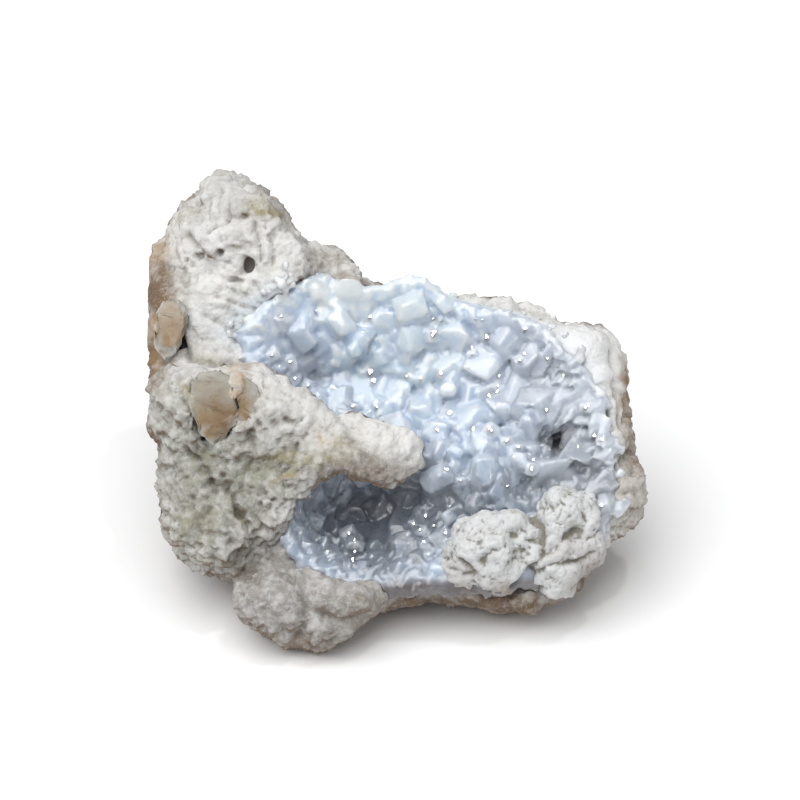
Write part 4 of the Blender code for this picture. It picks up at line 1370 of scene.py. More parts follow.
@dataclass
class CrystalLining:
    """The crust of crystals on the hollow's wall."""

    seed: int = 23
    root: float = 1.6
    sheet_step: float = 0.45
    sheet_height: float = 3.0
    rim_drop: float = 0.5
    rim_reach: float = 1.2
    rim_slope: float = 0.9
    foot_from: float = -22.0
    foot_to: float = -27.0
    foot_drop: float = 0.9
    gaps: tuple[Patch, ...] = ovals(
        (25, -6.2, 3.4, 1.9, 2.2, 25, 1.4), (29.4, -11.2, 3.6, 2, 1.2, 15, 1.4),
        (-13.6, 3.4, 2.6, 1.6, 1.2, -20, 1.4), (22.9, 4, 0.6, 2.8, 1.6, -15, 1.4),
    )
    sheet_frost_and_light: float = 0.55
    sheet_swell: float = 0.9
    sheet_edge: float = 3.0
    sheet_facet: float = 0.9
    facet_size: float = 2.2
    sheet_wobble: float = 0.5
    spacing: float = 0.44
    large: tuple[Tablet, ...] = tuple(
        Tablet(row[:2], *row[2:])
        for row in (
            (2, 13, 5.6, 4.6, 6.6, -4, 30, 8, 0.3), (9, 9.5, 5.4, 4.4, 6.4, 12, 22, -20, 0.35),
            (14.5, 6.5, 6.4, 5, 6.6, -14, -12, 30, 0.3), (20, 7, 5.6, 3.4, 6.6, 18, -8, 10, 0.3),
            (23.5, 1.5, 5.4, 3, 7.2, -22, -28, 55, 0.2), (32, -13, 2.6, 2, 5, -38, -30, 30, 0.5),
            (6.4, -13.8, 5.8, 4.4, 7.6, 10, 22, 5, 0.2),
            (2, -17.6, 5.4, 3.6, 7.8, 12, -48, 10, 0.25),
            (8, -22, 4.2, 3.4, 5.4, -20, -26, 30, 0.3), (14, -10.5, 5, 4, 6.2, -10, -18, -25, 0.25),
            (22.5, -12.5, 5.6, 3.4, 6.6, 22, 24, 40, 0.45),
            (-10.5, 12, 4.6, 3.8, 5.2, 14, 20, 15, 0.4), (-7, -25.5, 4.2, 3, 5, -16, 22, 80, 0.3),
            (8.4, 4.6, 7, 5.2, 6.2, 6, 10, 25, 0.35), (-2, 8, 4.6, 3.8, 5.4, -10, 14, 40, 0.3),
            (2.6, 2.4, 4.4, 3.6, 5.2, 12, 20, -30, 0.25), (-5.6, 2.2, 3.4, 2, 5.6, 24, 34, 60, 0.6),
            (17.6, -1.4, 5.2, 4, 6, -18, -10, 60, 0.15), (12, -4.6, 5.6, 4.6, 5.6, 0, 16, 20, 0.25),
            (-16.6, 10.4, 5.4, 4.4, 5, 20, 10, 45, 0.1),
            (-13.4, 5.6, 4.4, 3.8, 4.8, 26, 20, 30, 0.05), (-8, 6.6, 4, 3.2, 5.2, 10, 30, -10, 0.3),
            (-8.6, 16.4, 5, 3.6, 4.6, 6, 34, 10, 0.6),
            (-14.4, 16.6, 4.6, 3.6, 4.2, 16, 26, -20, 0.65),
            (5, -6.4, 4.6, 4, 5.2, 20, 6, 15, 0.25), (20.6, -6, 4.4, 3.2, 5.4, -20, 20, -35, 0.2),
            (-3.4, -19.6, 3.8, 3, 4.6, 14, 20, 25, 0.3),
            (-8.6, -17.4, 3.4, 2.6, 4.2, 24, -10, 55, 0.2),
            (0.6, -25, 4.6, 3.2, 4.8, 8, 26, 15, 0.35),
        )
    )
    beds: tuple[Bed, ...] = areas(
        Bed,
        (2, 3, 12, 9, 2.5, 0.8, 1.5, (4, 14), 26, 0.1, 0.3),
        (17, 0, 9, 9, 2.5, 0.62, 1.7, (-12, -6), 24, 0.12, 0.25),
        (28, -4, 5, 8, 2.2, 0.45, 2.2, (-28, -30), 12, 0.2, 0.35),
        (-17, 7, 6, 8, 2.3, 0.8, 1.3, (20, 8), 24, 0.5, 0.12),
        (-12, 17, 9, 4, 1.8, 0.8, 1.3, (6, 30), 22, 0, 0.6),
        (12, 13, 9, 3, 1.6, 0.7, 1.4, (0, 20), 26, 0.15, 0.3),
        (12, -14, 10, 6, 2.3, 0.7, 1.5, (6, 10), 26, 0.2, 0.2),
        (-6, -18, 10, 6, 1.6, 0.8, 1.3, (10, 10), 28, 0.62, 0.08),
        (0, -27, 12, 3, 1.8, 0.75, 1.4, (0, 20), 24, 0.3, 0.25),
        (24, -20, 8, 8, 1.8, 0.7, 1.5, (-12, -8), 24, 0.35, 0.3),
    )
    upright: float = 0.35
    large_from: float = 3.4
    large_sunk: float = 0.6
    small_sunk: float = 0.2
    large_share: float = 0.95
    skin_voxel: float = 0.31
    skin_merged: float = 0.12
    skin_ease: int = 1
    small_sparkles: int = 95
    sparkle_share: float = 0.85
    sparkle_sides: int = 6
    sparkle_length: float = 1.4
    sparkle_out: float = 0.25
    above: float = 40.0
    above_rock: float = 60.0
    blades: tuple[Blade, ...] = placed(
        Blade,
        (27.4, 4, 23.1, -4.3, 1.9, 2.4), (31.4, 2.4, 27.2, -4.4, 2, 2.6),
        (29.5, 3.4, 25.3, -4.6, 1.6, 2), (25.5, 4.6, 21.6, -2.2, 1.7, 1.6),
        (32.3, 0.4, 29.9, -6.3, 1.8, 2), (32.9, -2.8, 31.2, -8.6, 1.7, 1.5),
        (29, -5.6, 25.2, -10.4, 2.4, 4.6), (18.4, 5.8, 15.5, 1, 1.7, 1.8),
        (20.8, 6.4, 16.6, -3.8, 3.8, 1.6), (33, -11.6, 30.4, -14.6, 2.3, 2),
        (24.4, 8.6, 21.6, 3.4, 2, 1.4), (22.6, 9.6, 19, 6.2, 1.9, 1.4),
        (36, -15.6, 33.6, -18.4, 2, 1.4),
    )
    sparkles: tuple[tuple[float, float, float], ...] = (
        (-19.0, 13.3, 0.5), (-4.8, 13.3, 0.5), (5.4, 13.0, 0.5), (5.4, 10.8, 0.8), (17.3, 6.3, 0.9),
        (7.3, 0.0, 0.9), (7.9, -2.1, 0.8), (11.6, -4.6, 0.6), (5.9, -4.9, 0.6), (14.3, 0.6, 0.7),
        (26.1, 4.0, 0.6), (19.8, 7.3, 0.5), (25.0, 5.2, 0.5), (13.9, 10.1, 0.8), (16.9, -13.6, 0.5),
        (7.3, -10.9, 0.8), (-7.1, -23.8, 0.7), (-7.6, -25.3, 0.6), (5.4, -20.1, 0.6),
        (7.1, -21.2, 0.6), (-11.2, -15.7, 0.6), (-4.8, 4.5, 1.0), (-4.3, 3.0, 0.8), (15.5, 1.3, 0.6),
        (12.8, 2.8, 0.5), (21.0, -9.4, 0.5), (29.4, -1.2, 0.5), (1.2, 7.4, 0.4), (-13.6, 14.2, 0.4),
    )
    # patches of painted shade: the pocket under the tongue, crevices, the lower lip and small dark gaps
    shade_patches: tuple[Patch, ...] = ovals(
        (-17.5, 7.5, 5, 4, 0.14, 0, 1.2), (-13, 3.2, 3.4, 2.4, 0.4, -30, 1.2),
        (-4.6, -19.6, 12.6, 8, 1.12, 0, 1.6), (25.2, -6.2, 3.8, 2, 0.8, 20, 1.4),
        (28.6, -11.2, 5.4, 3.2, 0.3, 0, 1.2), (24, -6, 13, 12, 0.12), (13, -14, 13, 7, 0.22),
        (15, 11, 5, 2.4, 0.15), (5, -30.2, 16, 2.8, 0.5), (9, -15, 9, 5, 0.4),
        (5.5, -8.4, 3, 4, 0.3), (22, -16, 12, 3, 0.4), (17.6, 0.6, 2.6, 4.4, 0.3, -25),
        (1.9, 10.6, 1.1, 0.8, 0.6), (-18.5, 11.6, 0.9, 0.8, 0.6), (-3.5, 9, 0.7, 1, 0.5),
        (-8.7, -1, 1, 1, 0.7), (-5.1, -1, 1, 1, 0.7), (0, -1.7, 0.9, 0.9, 0.6),
        (22.9, 4, 0.7, 2.8, 0.9, -15), (19.5, -13.1, 1, 0.9, 0.8), (10.8, -16.6, 1, 1, 0.8),
        (-2.6, -22, 4, 3, 0.5),
    )
    frosty: tuple[Patch, ...] = ovals(
        (-21.2, 12.8, 3.4, 2.6, 0.7, 25), (-10.3, 16.2, 5, 3, 0.5), (8.7, 4.8, 5, 4.4, 0.35),
        (3.2, 15.6, 4, 3, 0.3), (22.9, 11.2, 3, 2, 0.6), (-11.6, 6, 1.4, 1, 0.6),
        (24.7, -12.4, 2.4, 2.4, 0.5),
    )
    lilac: tuple[Patch, ...] = ovals((-17, 5, 6, 7, 0.6), (-5, -19, 12, 7, 0.55))
    druse: tuple[Patch, ...] = ovals(
        (-24.6, 12.6, 2.4, 2.6, 0.5, 30), (-19, 18.2, 4, 1.6, 0.5, 25), (24.6, 10.8, 3, 2.2, 0.5),
    )
    druse_tries: int = 2200
    overgrowth: int = 170
    overgrown_widths: tuple[float, ...] = (1.5, 1.9, 2.3, 2.8)
    small_tries: int = 40000
    small_rounds: tuple[float, ...] = (1.7, 1.3, 1.0, 0.75)
    least_width: float = 1.7

    def build(self, rock: bpy.types.Object, material: bpy.types.Material) -> bpy.types.Object:
        """Make the lining.

        Args:
            rock: The finished host rock, on which the lining's rim grows.
            material: Its finish.

        Returns:
            The crust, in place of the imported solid.
        """
        self.parts = MeshParts()
        self.draw = random.Random(self.seed)
        self.add_sheet()
        shapes = CrystalShapes(self.seed + 2, 30)
        taken: list[tuple[float, float, float]] = []
        for tablet in self.large:
            self.place(tablet, shapes, 0.0)
            taken.append((*tablet.middle, tablet.width * 0.55))
        for blade in self.blades:
            for share in (0.1, 0.4, 0.7, 1.0):
                place = np.array(blade.foot) * (1.0 - share) + np.array(blade.tip) * share
                taken.append((*place, blade.width))
        small = self.scattered(taken)
        for tablet, painted_shade in small:
            self.place(tablet, shapes, painted_shade)
        self.add_overgrowth(shapes)
        for blade in self.blades:
            self.place_blade(blade, shapes)
        self.add_druse(rock, shapes)
        self.parts = self.parts.fused(self.skin_voxel, self.skin_merged, self.skin_ease)
        self.add_sparkles()
        log.info("lining: %d crystals", len(self.large) + len(small))
        return self.parts.to_object("celestite_crystals", material)

    def bed_height(self, points: np.ndarray) -> np.ndarray:
        """Height of the sheet that the crystals grow from: it meets the rock's face at the rim."""
        edge = np.clip(HOLLOW.edge_distance(points) / self.sheet_edge, 0.0, 1.0)
        flat = points * (1.0, 1.0, 0.0)
        swell = sampled(flat / 6.5, noise.noise) + 0.5 * sampled(flat / 2.6 + 8.0, noise.noise)
        inner = HOLLOW.wall(points) + self.sheet_height + self.sheet_swell * swell * edge
        inner -= summed(self.gaps, points)
        outside = np.clip(-HOLLOW.edge_distance(points), 0.0, None)
        low = smooth_step(self.foot_from, self.foot_to, points[:, 1])
        rim = HOLLOW.face(points) - self.rim_drop - outside * self.rim_slope - low * self.foot_drop
        return inner + (rim - inner) * (1.0 - edge) ** 2

    def add_sheet(self) -> None:
        """Add the closed sheet that the crystals grow from, along the hollow's wall."""
        outline = np.array(HOLLOW.outline)
        low, high = outline.min(axis=0) - 2.0, outline.max(axis=0) + 2.0
        columns, rows = (np.ceil((high - low) / self.sheet_step)).astype(int) + 1
        across, up = np.meshgrid(np.arange(columns), np.arange(rows), indexing="ij")
        places = np.stack(
            (low[0] + across * self.sheet_step, low[1] + up * self.sheet_step, across * 0.0), axis=-1
        ).reshape(-1, 3)
        reach = np.where(places[:, 1] > self.foot_from, self.rim_reach, -0.5)
        reach = np.where((places[:, 0] > 28.0) & (places[:, 1] < 0.0), 0.2, reach)
        within = (HOLLOW.edge_distance(places) > -reach).reshape(columns, rows)
        cells = within[:-1, :-1] & within[1:, :-1] & within[1:, 1:] & within[:-1, 1:]
        for axis in range(2):
            wobble = sampled(places / 1.7 + 5.0 * axis, noise.noise)
            places[:, axis] += self.sheet_wobble * wobble
        top, bottom = places.copy(), places.copy()
        top[:, 2] = self.bed_height(places) + self.sheet_facet * facets(places, self.facet_size, 0.9)
        bottom[:, 2] = np.minimum(HOLLOW.wall(places) + 0.2, top[:, 2] - 0.8)
        count = len(places)
        faces: list[tuple[int, ...]] = []
        for i, j in zip(*np.nonzero(cells)):
            a, b, c, d = (int(x * rows + y) for x, y in ((i, j), (i + 1, j), (i + 1, j + 1), (i, j + 1)))
            faces += [(a, b, c, d), (d + count, c + count, b + count, a + count)]
            beside = ((i, j - 1, a, b), (i + 1, j, b, c), (i, j + 1, c, d), (i - 1, j, d, a))
            for x, y, first, second in beside:
                open_side = not (0 <= x < columns - 1 and 0 <= y < rows - 1) or not cells[x, y]
                if open_side:
                    faces.append((second, first, first + count, second + count))
        points = np.concatenate((top, bottom))
        used = np.unique([i for face in faces for i in face])
        renumber = np.zeros(len(points), int)
        renumber[used] = np.arange(len(used))
        points = points[used]
        faces = [tuple(int(renumber[i]) for i in face) for face in faces]
        # the sheet is painted frosty pale, partly as painted light that lifts the shade between crystals
        self.parts.add(points, faces, self.paint_at(points, 0.0, self.sheet_frost_and_light))

    def paint_at(
        self, points: np.ndarray, painted_shade: float, frost: float | np.ndarray, shade_share: float = 1.0
    ) -> dict[Paint, np.ndarray]:
        """The values to paint on points of the lining.

        Args:
            points: The points in the face frame.
            painted_shade: How much painted shade they have by themselves.
            frost: How frosted they are by themselves, with any painted light at their roots.
            shade_share: How much of the lining's patches of painted shade they take on.

        Returns:
            The values, with those of the patches added.
        """
        return {
            Paint.PAINTED_SHADE: painted_shade + summed(self.shade_patches, points) * shade_share,
            Paint.FROST_AND_LIGHT: frost + summed(self.frosty, points),
            Paint.LILAC: self.lilac_at(points),
            Paint.EDGE_HIGHLIGHT: np.zeros(len(points)),
        }

    def lilac_at(self, points: np.ndarray) -> np.ndarray:
        """How lilac-grey the crystals are at face points: more so to the right and far left."""
        lilac = smooth_step(6.0, 30.0, points[:, 0] + points[:, 1] * 0.25)
        for patch in self.lilac:
            lilac = lilac + patch.weight(points)
        return np.clip(lilac, 0.0, 1.0)

    def bed_at(self, place: np.ndarray) -> Bed:
        """The kind of growth at a place, drawn from the beds that reach there."""
        weights = [float(bed.patch.weight(place)[0]) + 1e-6 for bed in self.beds]
        return self.draw.choices(self.beds, weights)[0]

    def scattered(self, taken: list[tuple[float, float, float]]) -> list[tuple[Tablet, float]]:
        """Small crystals drawn at random, none too near another.

        Args:
            taken: Middle and radius of each place already used.

        Returns:
            Each crystal with how much painted shade it has.
        """
        draw = self.draw
        outline = np.array(HOLLOW.outline)
        low, high = outline.min(axis=0), outline.max(axis=0)
        tries = np.array(
            [
                (draw.uniform(low[0], high[0]), draw.uniform(low[1], high[1]), 0.0)
                for _ in range(self.small_tries)
            ]
        )
        edge = HOLLOW.edge_distance(tries)
        edge[summed(self.gaps, tries) > 0.9] = 0.0
        crowd = Crowd(self.spacing)
        for u, v, radius in taken:
            crowd.note(u, v, radius)
        chosen = []
        share = len(tries) // len(self.small_rounds)
        for number, place in enumerate(tries):
            if edge[number] < 0.2:
                continue
            factor = self.small_rounds[min(number // share, len(self.small_rounds) - 1)]
            bed = self.bed_at(place[None])
            width = max(self.least_width, bed.width * factor * draw.uniform(0.8, 1.2))
            width = min(width, 1.3 + edge[number] * 0.8)
            u, v = float(place[0]), float(place[1])
            if crowd.near(u, v, width / 2):
                continue
            crowd.note(u, v, width / 2)
            tall = bed.tall * draw.uniform(0.75, 1.3) * (0.7 + 0.3 * min(1.0, edge[number] / 3.0))
            tablet = Tablet(
                (u, v),
                width * 1.25,
                width * 1.25 * min(1.0, bed.flat * draw.uniform(0.8, 1.25)),
                0.4 + width * tall * 0.6,
                bed.lean[0] + draw.gauss(0.0, bed.spread),
                bed.lean[1] + draw.gauss(0.0, bed.spread),
                draw.uniform(0.0, 180.0) if bed.flat > 0.5 else 60.0 + draw.gauss(0.0, 14.0),
                max(0.0, bed.frost + draw.gauss(0.0, 0.08)),
            )
            chosen.append((tablet, max(0.0, bed.painted_shade * 0.25 + draw.gauss(0.0, 0.03))))
        return chosen

    def place(self, tablet: Tablet, shapes: CrystalShapes, painted_shade: float) -> None:
        """Add one crystal to the crust."""
        spot = np.array([[*tablet.middle, 0.0]])
        large = tablet.width > self.large_from
        sunk = self.large_sunk if large else self.small_sunk
        base = float(self.bed_height(spot)[0]) - sunk
        normal = Vector(HOLLOW.wall_normal(spot)[0]).lerp(-DOWN, self.upright)
        lean = Matrix.Rotation(math.radians(tablet.lean_across), 3, "Y")
        lean = lean @ Matrix.Rotation(math.radians(-tablet.lean_up), 3, "X")
        axis = (lean @ normal).normalized()
        turn = axis.to_track_quat("Z", "Y").to_matrix()
        turn = turn @ Matrix.Rotation(math.radians(tablet.spin), 3, "Z")
        shape = shapes.pick(self.draw)
        points = shape.points
        length = tablet.length + self.root
        slim = self.large_share if large else 1.0
        scaled = points * np.array((tablet.width * slim, tablet.thickness * slim, length))
        scaled[:, 2] -= self.root
        placed = scaled @ np.array(turn).T
        placed += np.array((*tablet.middle, base))
        share = np.clip(points[:, 2], 0.0, 1.0)
        # frost grows towards each tip, and the roots get extra frost: painted light that lifts the shade
        # between crystals
        depth = 1.0 - smooth_step(0.25, 0.8, share)
        frost = np.clip(tablet.frost * (0.4 + 0.8 * share), 0.0, 1.0) + depth * 0.5
        painted = self.paint_at(placed, painted_shade, frost)
        painted[Paint.LILAC] = np.full(len(points), self.lilac_at(spot)[0])
        self.parts.add(placed, shape.faces, painted)

    def stand(
        self,
        shape: Shape,
        foot: Vector,
        axis: Vector,
        sizes: tuple[float, float, float],
        frost: float,
    ) -> None:
        """Add one crystal from its foot along an axis.

        Args:
            shape: The unit shape.
            foot: Where its base stands, in the face frame.
            axis: Which way it grows.
            sizes: Its width, thickness and length in millimetres.
            frost: How frosted it is.
        """
        turn = np.array(axis.to_track_quat("Z", "Y").to_matrix())
        placed = (shape.points * np.array(sizes)) @ turn.T + np.array(foot)
        self.parts.add(placed, shape.faces, self.paint_at(placed, 0.0, frost, 0.8))

    def place_blade(self, blade: Blade, shapes: CrystalShapes) -> None:
        """Add one long crystal that lies along the lining."""
        ends = np.array([[*blade.foot, 0.0], [*blade.tip, 0.0]])
        low, high = self.bed_height(ends)
        foot = Vector((*blade.foot, low - 0.2))
        axis = Vector((*blade.tip, high + blade.rise)) - foot
        sizes = (blade.width, blade.width * 0.8, axis.length)
        shape = shapes.pick(self.draw)
        self.stand(shape, foot, axis.normalized(), sizes, 0.35)

    def add_sparkles(self) -> None:
        """Add small crystals whose flat ends throw the small light back to the camera."""
        grown = BVHTree.FromPolygons(self.parts.points[0].tolist(), self.parts.faces)
        places, edges = self.spots(self.small_sparkles, 0.0)
        sizes = 0.28 + 0.27 * np.random.default_rng(self.seed + 3).random(len(places))
        chosen = [(*p[:2], size) for p, size, edge in zip(places, sizes, edges) if edge > 1.0]
        for u, v, size in (*self.sparkles, *chosen):
            hit, _, _, _ = grown.ray_cast(Vector((u, v, self.above)), DOWN)
            if hit is not None:
                self.place_sparkle(hit, size * self.sparkle_share)

    def place_sparkle(self, top: Vector, size: float) -> None:
        """Add one sparkling crystal with its flat end just over a place."""
        world = FACE.to_world(np.array(top)[None])[0]
        eye = np.array(FACE.middle) * MM + np.array(FACE.matrix.col[2]) * CAMERA_DISTANCE
        ways = [(end - world) / np.linalg.norm(end - world) for end in (eye, np.array(SPARK_LIGHT))]
        axis = Vector((ways[0] + ways[1]) @ np.array(FACE.matrix)).normalized()
        count = self.sparkle_sides
        turns = sorted(self.draw.uniform(0.0, 2.0 * math.pi) for _ in range(count))
        ring = [(math.cos(turn) * 0.5, math.sin(turn) * 0.5) for turn in turns]
        points = np.array([(x, y, z) for z in (0.0, 1.0) for x, y in ring])
        sides = [(k, (k + 1) % count, (k + 1) % count + count, k + count) for k in range(count)]
        faces = [tuple(reversed(range(count))), tuple(range(count, 2 * count)), *sides]
        foot = top - axis * (self.sparkle_length - self.sparkle_out)
        sizes = (size, size * 1.4, self.sparkle_length)
        self.stand(Shape(points, faces), foot, axis, sizes, 0.6)

    def spots(self, count: int, reach: float) -> tuple[np.ndarray, np.ndarray]:
        """Random places over the lining.

        Args:
            count: How many to draw.
            reach: How far past the outline's box they may lie.

        Returns:
            The places, and how far inside the outline each one is.
        """
        outline = np.array(HOLLOW.outline)
        low, high = outline.min(axis=0) - reach, outline.max(axis=0) + reach
        draw = np.random.default_rng(self.seed)
        places = np.zeros((count, 3))
        places[:, :2] = low + (high - low) * draw.random((count, 2))
        return places, HOLLOW.edge_distance(places)

    def add_overgrowth(self, shapes: CrystalShapes) -> None:
        """Scatter tiny crystals on the crystals made so far."""
        draw = self.draw
        grown = BVHTree.FromPolygons(np.concatenate(self.parts.points).tolist(), self.parts.faces)
        places, edges = self.spots(self.overgrowth, 0.0)
        for spot in places[edges > 0.4]:
            top = Vector((spot[0], spot[1], self.above))
            place, normal, _, _ = grown.ray_cast(top, DOWN)
            if place is None:
                continue
            way = normal + Vector((0.0, 0.2, 0.5)) + Vector([draw.gauss(0.0, 0.3) for _ in range(3)])
            way.normalize()
            width = draw.choice(self.overgrown_widths)
            sizes = (width, width * draw.uniform(0.6, 1.0), 0.6 + width * draw.uniform(0.2, 0.55))
            frost = draw.uniform(0.15, 0.4)
            self.stand(shapes.pick(draw), place - way * 0.6, way, sizes, frost)

    def add_druse(self, rock: bpy.types.Object, shapes: CrystalShapes) -> None:
        """Scatter small pale crystals on the rock where it meets the lining."""
        draw = self.draw
        down = -Vector(FACE.matrix.col[2])
        places, edges = self.spots(self.druse_tries, 2.5)
        outer = edges < 0.4
        upper = (places[:, 1] > 5.0) | (places[:, 0] > 30.0)
        chance = np.exp(-((edges / 1.0) ** 2)) * outer * upper
        chance = np.maximum(chance, summed(self.druse, places) * outer)
        for spot in places[chance > np.random.default_rng(self.seed + 1).random(len(places))]:
            start = Vector(FACE.to_world(spot[None] + (0.0, 0.0, self.above_rock))[0])
            hit, place, normal, _ = rock.ray_cast(start, down)
            if not hit:
                continue
            foot = Vector(FACE.to_face(np.array(place)[None])[0])
            way = Vector(np.array(normal) @ np.array(FACE.matrix))
            way += Vector((draw.gauss(0.0, 0.4), draw.gauss(0.0, 0.4), draw.gauss(0.4, 0.2)))
            way.normalize()
            width = draw.uniform(0.9, 1.8)
            sizes = (width, width * draw.uniform(0.6, 1.0), width * draw.uniform(0.3, 0.6) + 0.6)
            frost = draw.uniform(0.8, 1.1)
            self.stand(shapes.pick(draw), foot - way * 0.5, way, sizes, frost)


@dataclass
class Nodule:
    """The white nodule: folded, cauliflower-like lobes on the hollow's lower right."""

    voxel: float = 0.3
    smooth_rounds: int = 10
    bend: float = 0.9
    lobe_size: float = 4.6
    knob_size: float = 2.3
    puff: float = 0.3
    crumb: float = 0.16
    dips: Dips = Dips(4, 16, 0.8, 0.0, 0.4)
    folds: tuple[Patch | Groove, ...] = (
        *ovals(
            (16.8, -21.5, 1.8, 4.5, 0.9), (26, -26.8, 4, 1.6, 0.7, 8), (12, -29, 3, 1.6, 0.6, -10),
        ),
        Groove(
            ((20.3, -17.4), (21.8, -19.8), (22.2, -22.8), (21.7, -25.2), (20.0, -27.4), (18.1, -29.2)),
            0.6, -1.1,
        ),
        Groove(((19.3, -20.0), (16.9, -21.9), (14.4, -23.9), (12.7, -25.5)), 0.8, -0.8),
        Groove(((7.6, -26.6), (9.6, -27.4), (11.6, -27.6), (9.7, -25.2)), 0.45, -0.8),
        Groove(((29.5, -17.9), (27.7, -20.7), (24.1, -23.1), (22.3, -23.9)), 0.8, -0.9),
        Groove(((30.6, -23.8), (27.2, -25.2), (23.1, -26.0), (20.7, -27.4)), 0.5, -0.8),
    )
    earth_and_shade_patches: tuple[Patch, ...] = ovals(
        (30, -27.4, 4, 3, 0.8, 45), (17.4, -30.2, 3, 1.6, 0.9), (11, -30, 4, 1.6, 0.7, -15),
        (9.6, -26.6, 3, 1.2, 0.3), (26, -23, 3.4, 1.4, 0.3, 25),
    )

    def build(self, material: bpy.types.Material) -> bpy.types.Object:
        """Make the nodule.

        Args:
            material: Its finish.

        Returns:
            The nodule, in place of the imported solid.
        """
        mesh = remeshed("white_nodule", "white_nodule_folds", self.voxel)
        normals = soften(mesh, self.smooth_rounds, 4)
        base = FACE.to_face(read_points(mesh))
        warp = wandering(base / 3.0, 7.3)
        bent = base + warp * self.bend
        height = domes(bent * (1.0, 1.25, 1.0), self.lobe_size, 0.3, 1.2)
        height += 0.4 * domes(bent + warp * 0.6, self.knob_size, 0.35, 1.2)
        height += self.puff * sampled(bent * 1.3, noise.noise)
        height += self.crumb * sampled(bent * 3.1, noise.noise)
        height += summed(self.folds, base + warp * 0.6)
        raise_points(mesh, base, normals, height)
        # crevice depth, which the finish turns into painted shade
        self.dips.paint(mesh)
        # brown earth and painted shade on the lower lobes
        paint_mesh(mesh, Paint.EARTH_AND_SHADE, summed(self.earth_and_shade_patches, base + warp))
        return dressed("white_nodule_folds", mesh, material)


@dataclass(frozen=True)
class StainedCrystal:
    """One amber crystal in the rock's left-hand face."""

    node: str
    name: str
    outline: tuple[Point2, ...]
    front: float
    depth: float
    rust_from: float
    rust_to: float
    # how much painted shade darkens the whole crystal
    dull: float = 0.0
    ochre: Patch | None = None
    taper: float = 0.8
    worn: float = 0.4
    splits: int = 3
    grow: float = 1.5
    faded: float = 0.15

    def build(self, material: bpy.types.Material) -> bpy.types.Object:
        """Make the crystal.

        Args:
            material: Its finish.

        Returns:
            The crystal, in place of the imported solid.
        """
        mesh = self.shell()
        base = averaged(read_points(mesh), edge_pairs(mesh), 3, 0.5)
        wander = wandering(base * 0.7, 4.1)
        base += wander * (0.7, 0.6, 0.6) + wandering(base * 2.3, 6.7) * 0.22
        rust = smooth_step(self.rust_from, self.rust_to, base[:, 1])
        inside = inside_distance(self.outline, base + wander * 1.2)
        host = smooth_step(-0.1, -1.0, inside)
        base[:, 2] -= smooth_step(0.0, -self.grow, inside) * 0.5
        write_points(mesh, boxed(FACE.to_world(base)))
        paint_mesh(mesh, Paint.RUST, rust)
        paint_mesh(mesh, Paint.HOST, np.maximum(host, self.faded * (1.0 - rust)))
        # the same painted shade on every point of the crystal
        paint_mesh(mesh, Paint.CRYSTAL_SHADE, np.full(len(base), self.dull))
        ochre = self.ochre.weight(base + wander) if self.ochre else np.zeros(len(base))
        paint_mesh(mesh, Paint.OCHRE, ochre)
        return dressed(self.name, mesh, material)

    def shell(self) -> bpy.types.Mesh:
        """The crystal's closed shell in the face frame, worn at its edges and finely split."""
        work = bmesh.new()
        middle = np.mean(self.outline, axis=0)
        ring = []
        for u, v in self.outline:
            away = np.array((u, v)) - middle
            u, v = middle + away * (1.0 + self.grow / np.linalg.norm(away))
            ring.append(work.verts.new((u, v, self.front)))
        face = work.faces.new(ring)
        pushed = bmesh.ops.extrude_face_region(work, geom=[face])
        moved = [e for e in pushed["geom"] if isinstance(e, bmesh.types.BMVert)]
        for vert in moved:
            foot = middle + (np.array(vert.co[:2]) - middle) * self.taper
            vert.co = (*foot, vert.co.z - self.depth)
        bmesh.ops.recalc_face_normals(work, faces=work.faces)
        edges = [e for e in work.edges if e.calc_face_angle(0.0) > 0.3]
        bmesh.ops.bevel(
            work, geom=edges, offset=self.worn, segments=2, affect="EDGES", profile=0.6
        )
        bmesh.ops.triangulate(work, faces=work.faces)
        for _ in range(self.splits):
            bmesh.ops.subdivide_edges(work, edges=work.edges, cuts=1)
        mesh = bpy.data.meshes.new(self.name)
        work.to_mesh(mesh)
        work.free()
        return mesh


STAINED_CRYSTALS = (
    StainedCrystal(
        "amber_crystal_front", "amber_front",
        (
            (-31.6, 2.0), (-30.6, 3.0), (-28.4, 3.2), (-27.0, 1.6), (-26.6, -1.8),
            (-27.6, -4.4), (-29.1, -5.9), (-30.6, -4.2), (-31.8, -0.6),
        ),
        8.5, 4.0, 1.4, -2.8,
        dull=0.3, ochre=Patch((-27.4, -3.4), (1.6, 4.4), 0.9, 12.0),
    ),
    StainedCrystal(
        "amber_crystal_side", "amber_side",
        (
            (-25.6, 2.0), (-24.2, 2.6), (-23.2, 1.0), (-22.9, -1.4), (-23.6, -3.0),
            (-24.8, -2.4), (-25.4, -0.4),
        ),
        7.8, 4.0, 3.0, -1.0,
        dull=0.15, ochre=Patch((-24.0, -0.6), (1.6, 3.0), 0.4),
    ),
    StainedCrystal(
        "amber_crystal_upper", "amber_upper",
        (
            (-37.4, 14.6), (-35.8, 14.9), (-34.9, 12.6), (-35.8, 9.4), (-37.4, 7.9),
            (-38.2, 9.8), (-38.0, 12.6),
        ),
        -3.3, 6.2, 27.0, 4.0,
        faded=0.6,
    ),
)


@dataclass(frozen=True)
class Lamp:
    """One square light that looks at the rock: place and side in metres, power in watts."""

    name: str
    place: tuple[float, float, float]
    side: float
    power: float

    def hang(self) -> None:
        """Put the light into the scene."""
        light = bpy.data.lights.new(self.name, "AREA")
        light.size = self.side
        light.energy = self.power
        obj = bpy.data.objects.new(self.name, light)
        obj.location = Vector(self.place)
        obj.rotation_euler = Vector(self.place).to_track_quat("Z", "Y").to_euler()
        bpy.context.scene.collection.objects.link(obj)


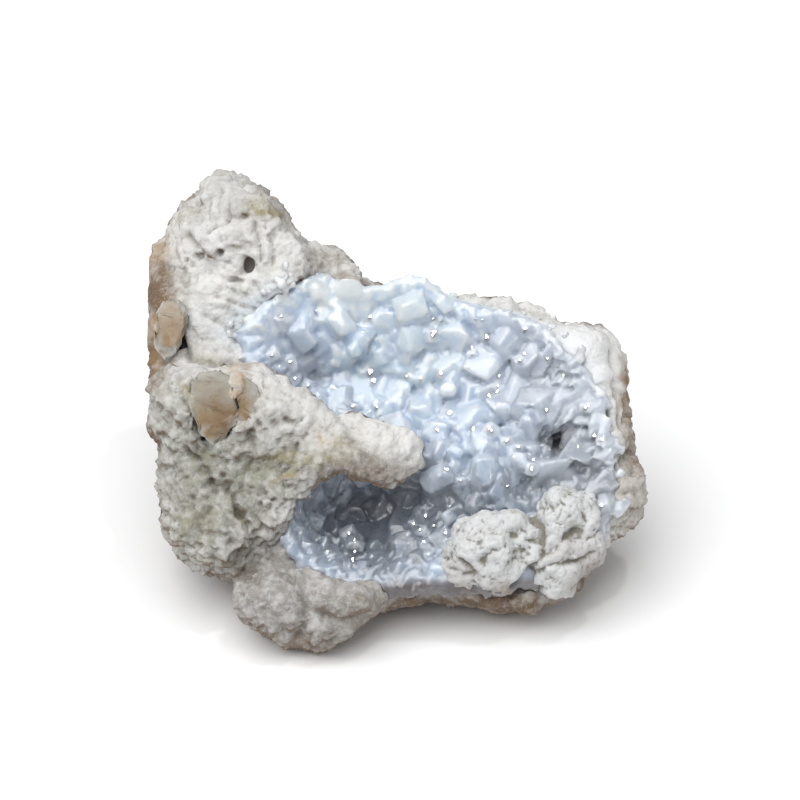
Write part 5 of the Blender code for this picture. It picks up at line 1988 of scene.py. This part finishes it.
@dataclass
class Studio:
    """Floor, soft light and the camera that looks straight into the hollow."""

    distance: float = CAMERA_DISTANCE
    field_width_mm: float = 126.7
    sensor: float = 36.0
    floor_half: float = 3.0
    sky: float = 0.46
    sky_colour: Colour = (0.97, 0.985, 1.0)
    lamps: tuple[Lamp, ...] = (
        Lamp("key_light", (-0.28, -0.28, 0.92), 1.1, 11.0),
        Lamp("spark_light", SPARK_LIGHT, 0.04, 0.8),
        Lamp("side_light", (0.75, -0.35, 0.45), 0.08, 0.3),
    )

    def build(self) -> None:
        """Make the floor, the lights and the camera."""
        scene = bpy.context.scene
        scene.view_settings.view_transform = "Standard"
        self.make_floor()
        self.make_sky(scene)
        for lamp in self.lamps:
            lamp.hang()
        self.make_camera(scene)

    def make_floor(self) -> None:
        """A plain pale floor under the rock."""
        half = self.floor_half
        mesh = bpy.data.meshes.new("floor")
        corners = [(-half, -half, 0.0), (half, -half, 0.0), (half, half, 0.0), (-half, half, 0.0)]
        mesh.from_pydata(corners, [], [(0, 1, 2, 3)])
        mesh.materials.append(FloorFinish().build())
        link("floor", mesh)

    def make_sky(self, scene: bpy.types.Scene) -> None:
        """Even, near-white light from all round."""
        world = bpy.data.worlds.new("studio")
        world.use_nodes = True
        sky = next(n for n in world.node_tree.nodes if n.type == "BACKGROUND")
        sky.inputs["Color"].default_value = (*self.sky_colour, 1.0)
        sky.inputs["Strength"].default_value = self.sky
        scene.world = world

    def make_camera(self, scene: bpy.types.Scene) -> None:
        """The camera, square to the face."""
        data = bpy.data.cameras.new("camera")
        data.sensor_width = self.sensor
        data.lens = self.sensor * self.distance / (self.field_width_mm * MM)
        data.clip_start, data.clip_end = 0.01, 20.0
        camera = bpy.data.objects.new("camera", data)
        turn = FACE.matrix
        camera.matrix_world = Matrix.Translation(
            Vector(FACE.middle) * MM + turn.col[2] * self.distance
        ) @ turn.to_4x4()
        scene.collection.objects.link(camera)
        scene.camera = camera


def settle(piece: bpy.types.Object, slot: str, *nodes: str) -> None:
    """Say which body a piece rides on and hide the imported solids that it stands for."""
    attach(piece, "root")
    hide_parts(*nodes)
    faces = sum(len(face.vertices) - 2 for face in piece.data.polygons)
    log.info("%s: %d triangles", piece.name, faces)


def main() -> None:
    """Build every piece in order."""
    logging.basicConfig(level=logging.INFO, format="%(name)s %(message)s")
    Studio().build()
    rock = HostRock().build(RockFinish().build())
    settle(rock, "host_rock", "matrix")
    bpy.context.view_layer.update()
    lining = CrystalLining().build(rock, CelestiteFinish().build())
    settle(lining, "celestite", "celestite_crust")
    settle(Nodule().build(NoduleFinish().build()), "white_mineral", "white_nodule")
    amber = AmberFinish().build()
    for crystal in STAINED_CRYSTALS:
        settle(crystal.build(amber), "iron_stained_crystal", crystal.node)


if __name__ == "__main__":
    main()
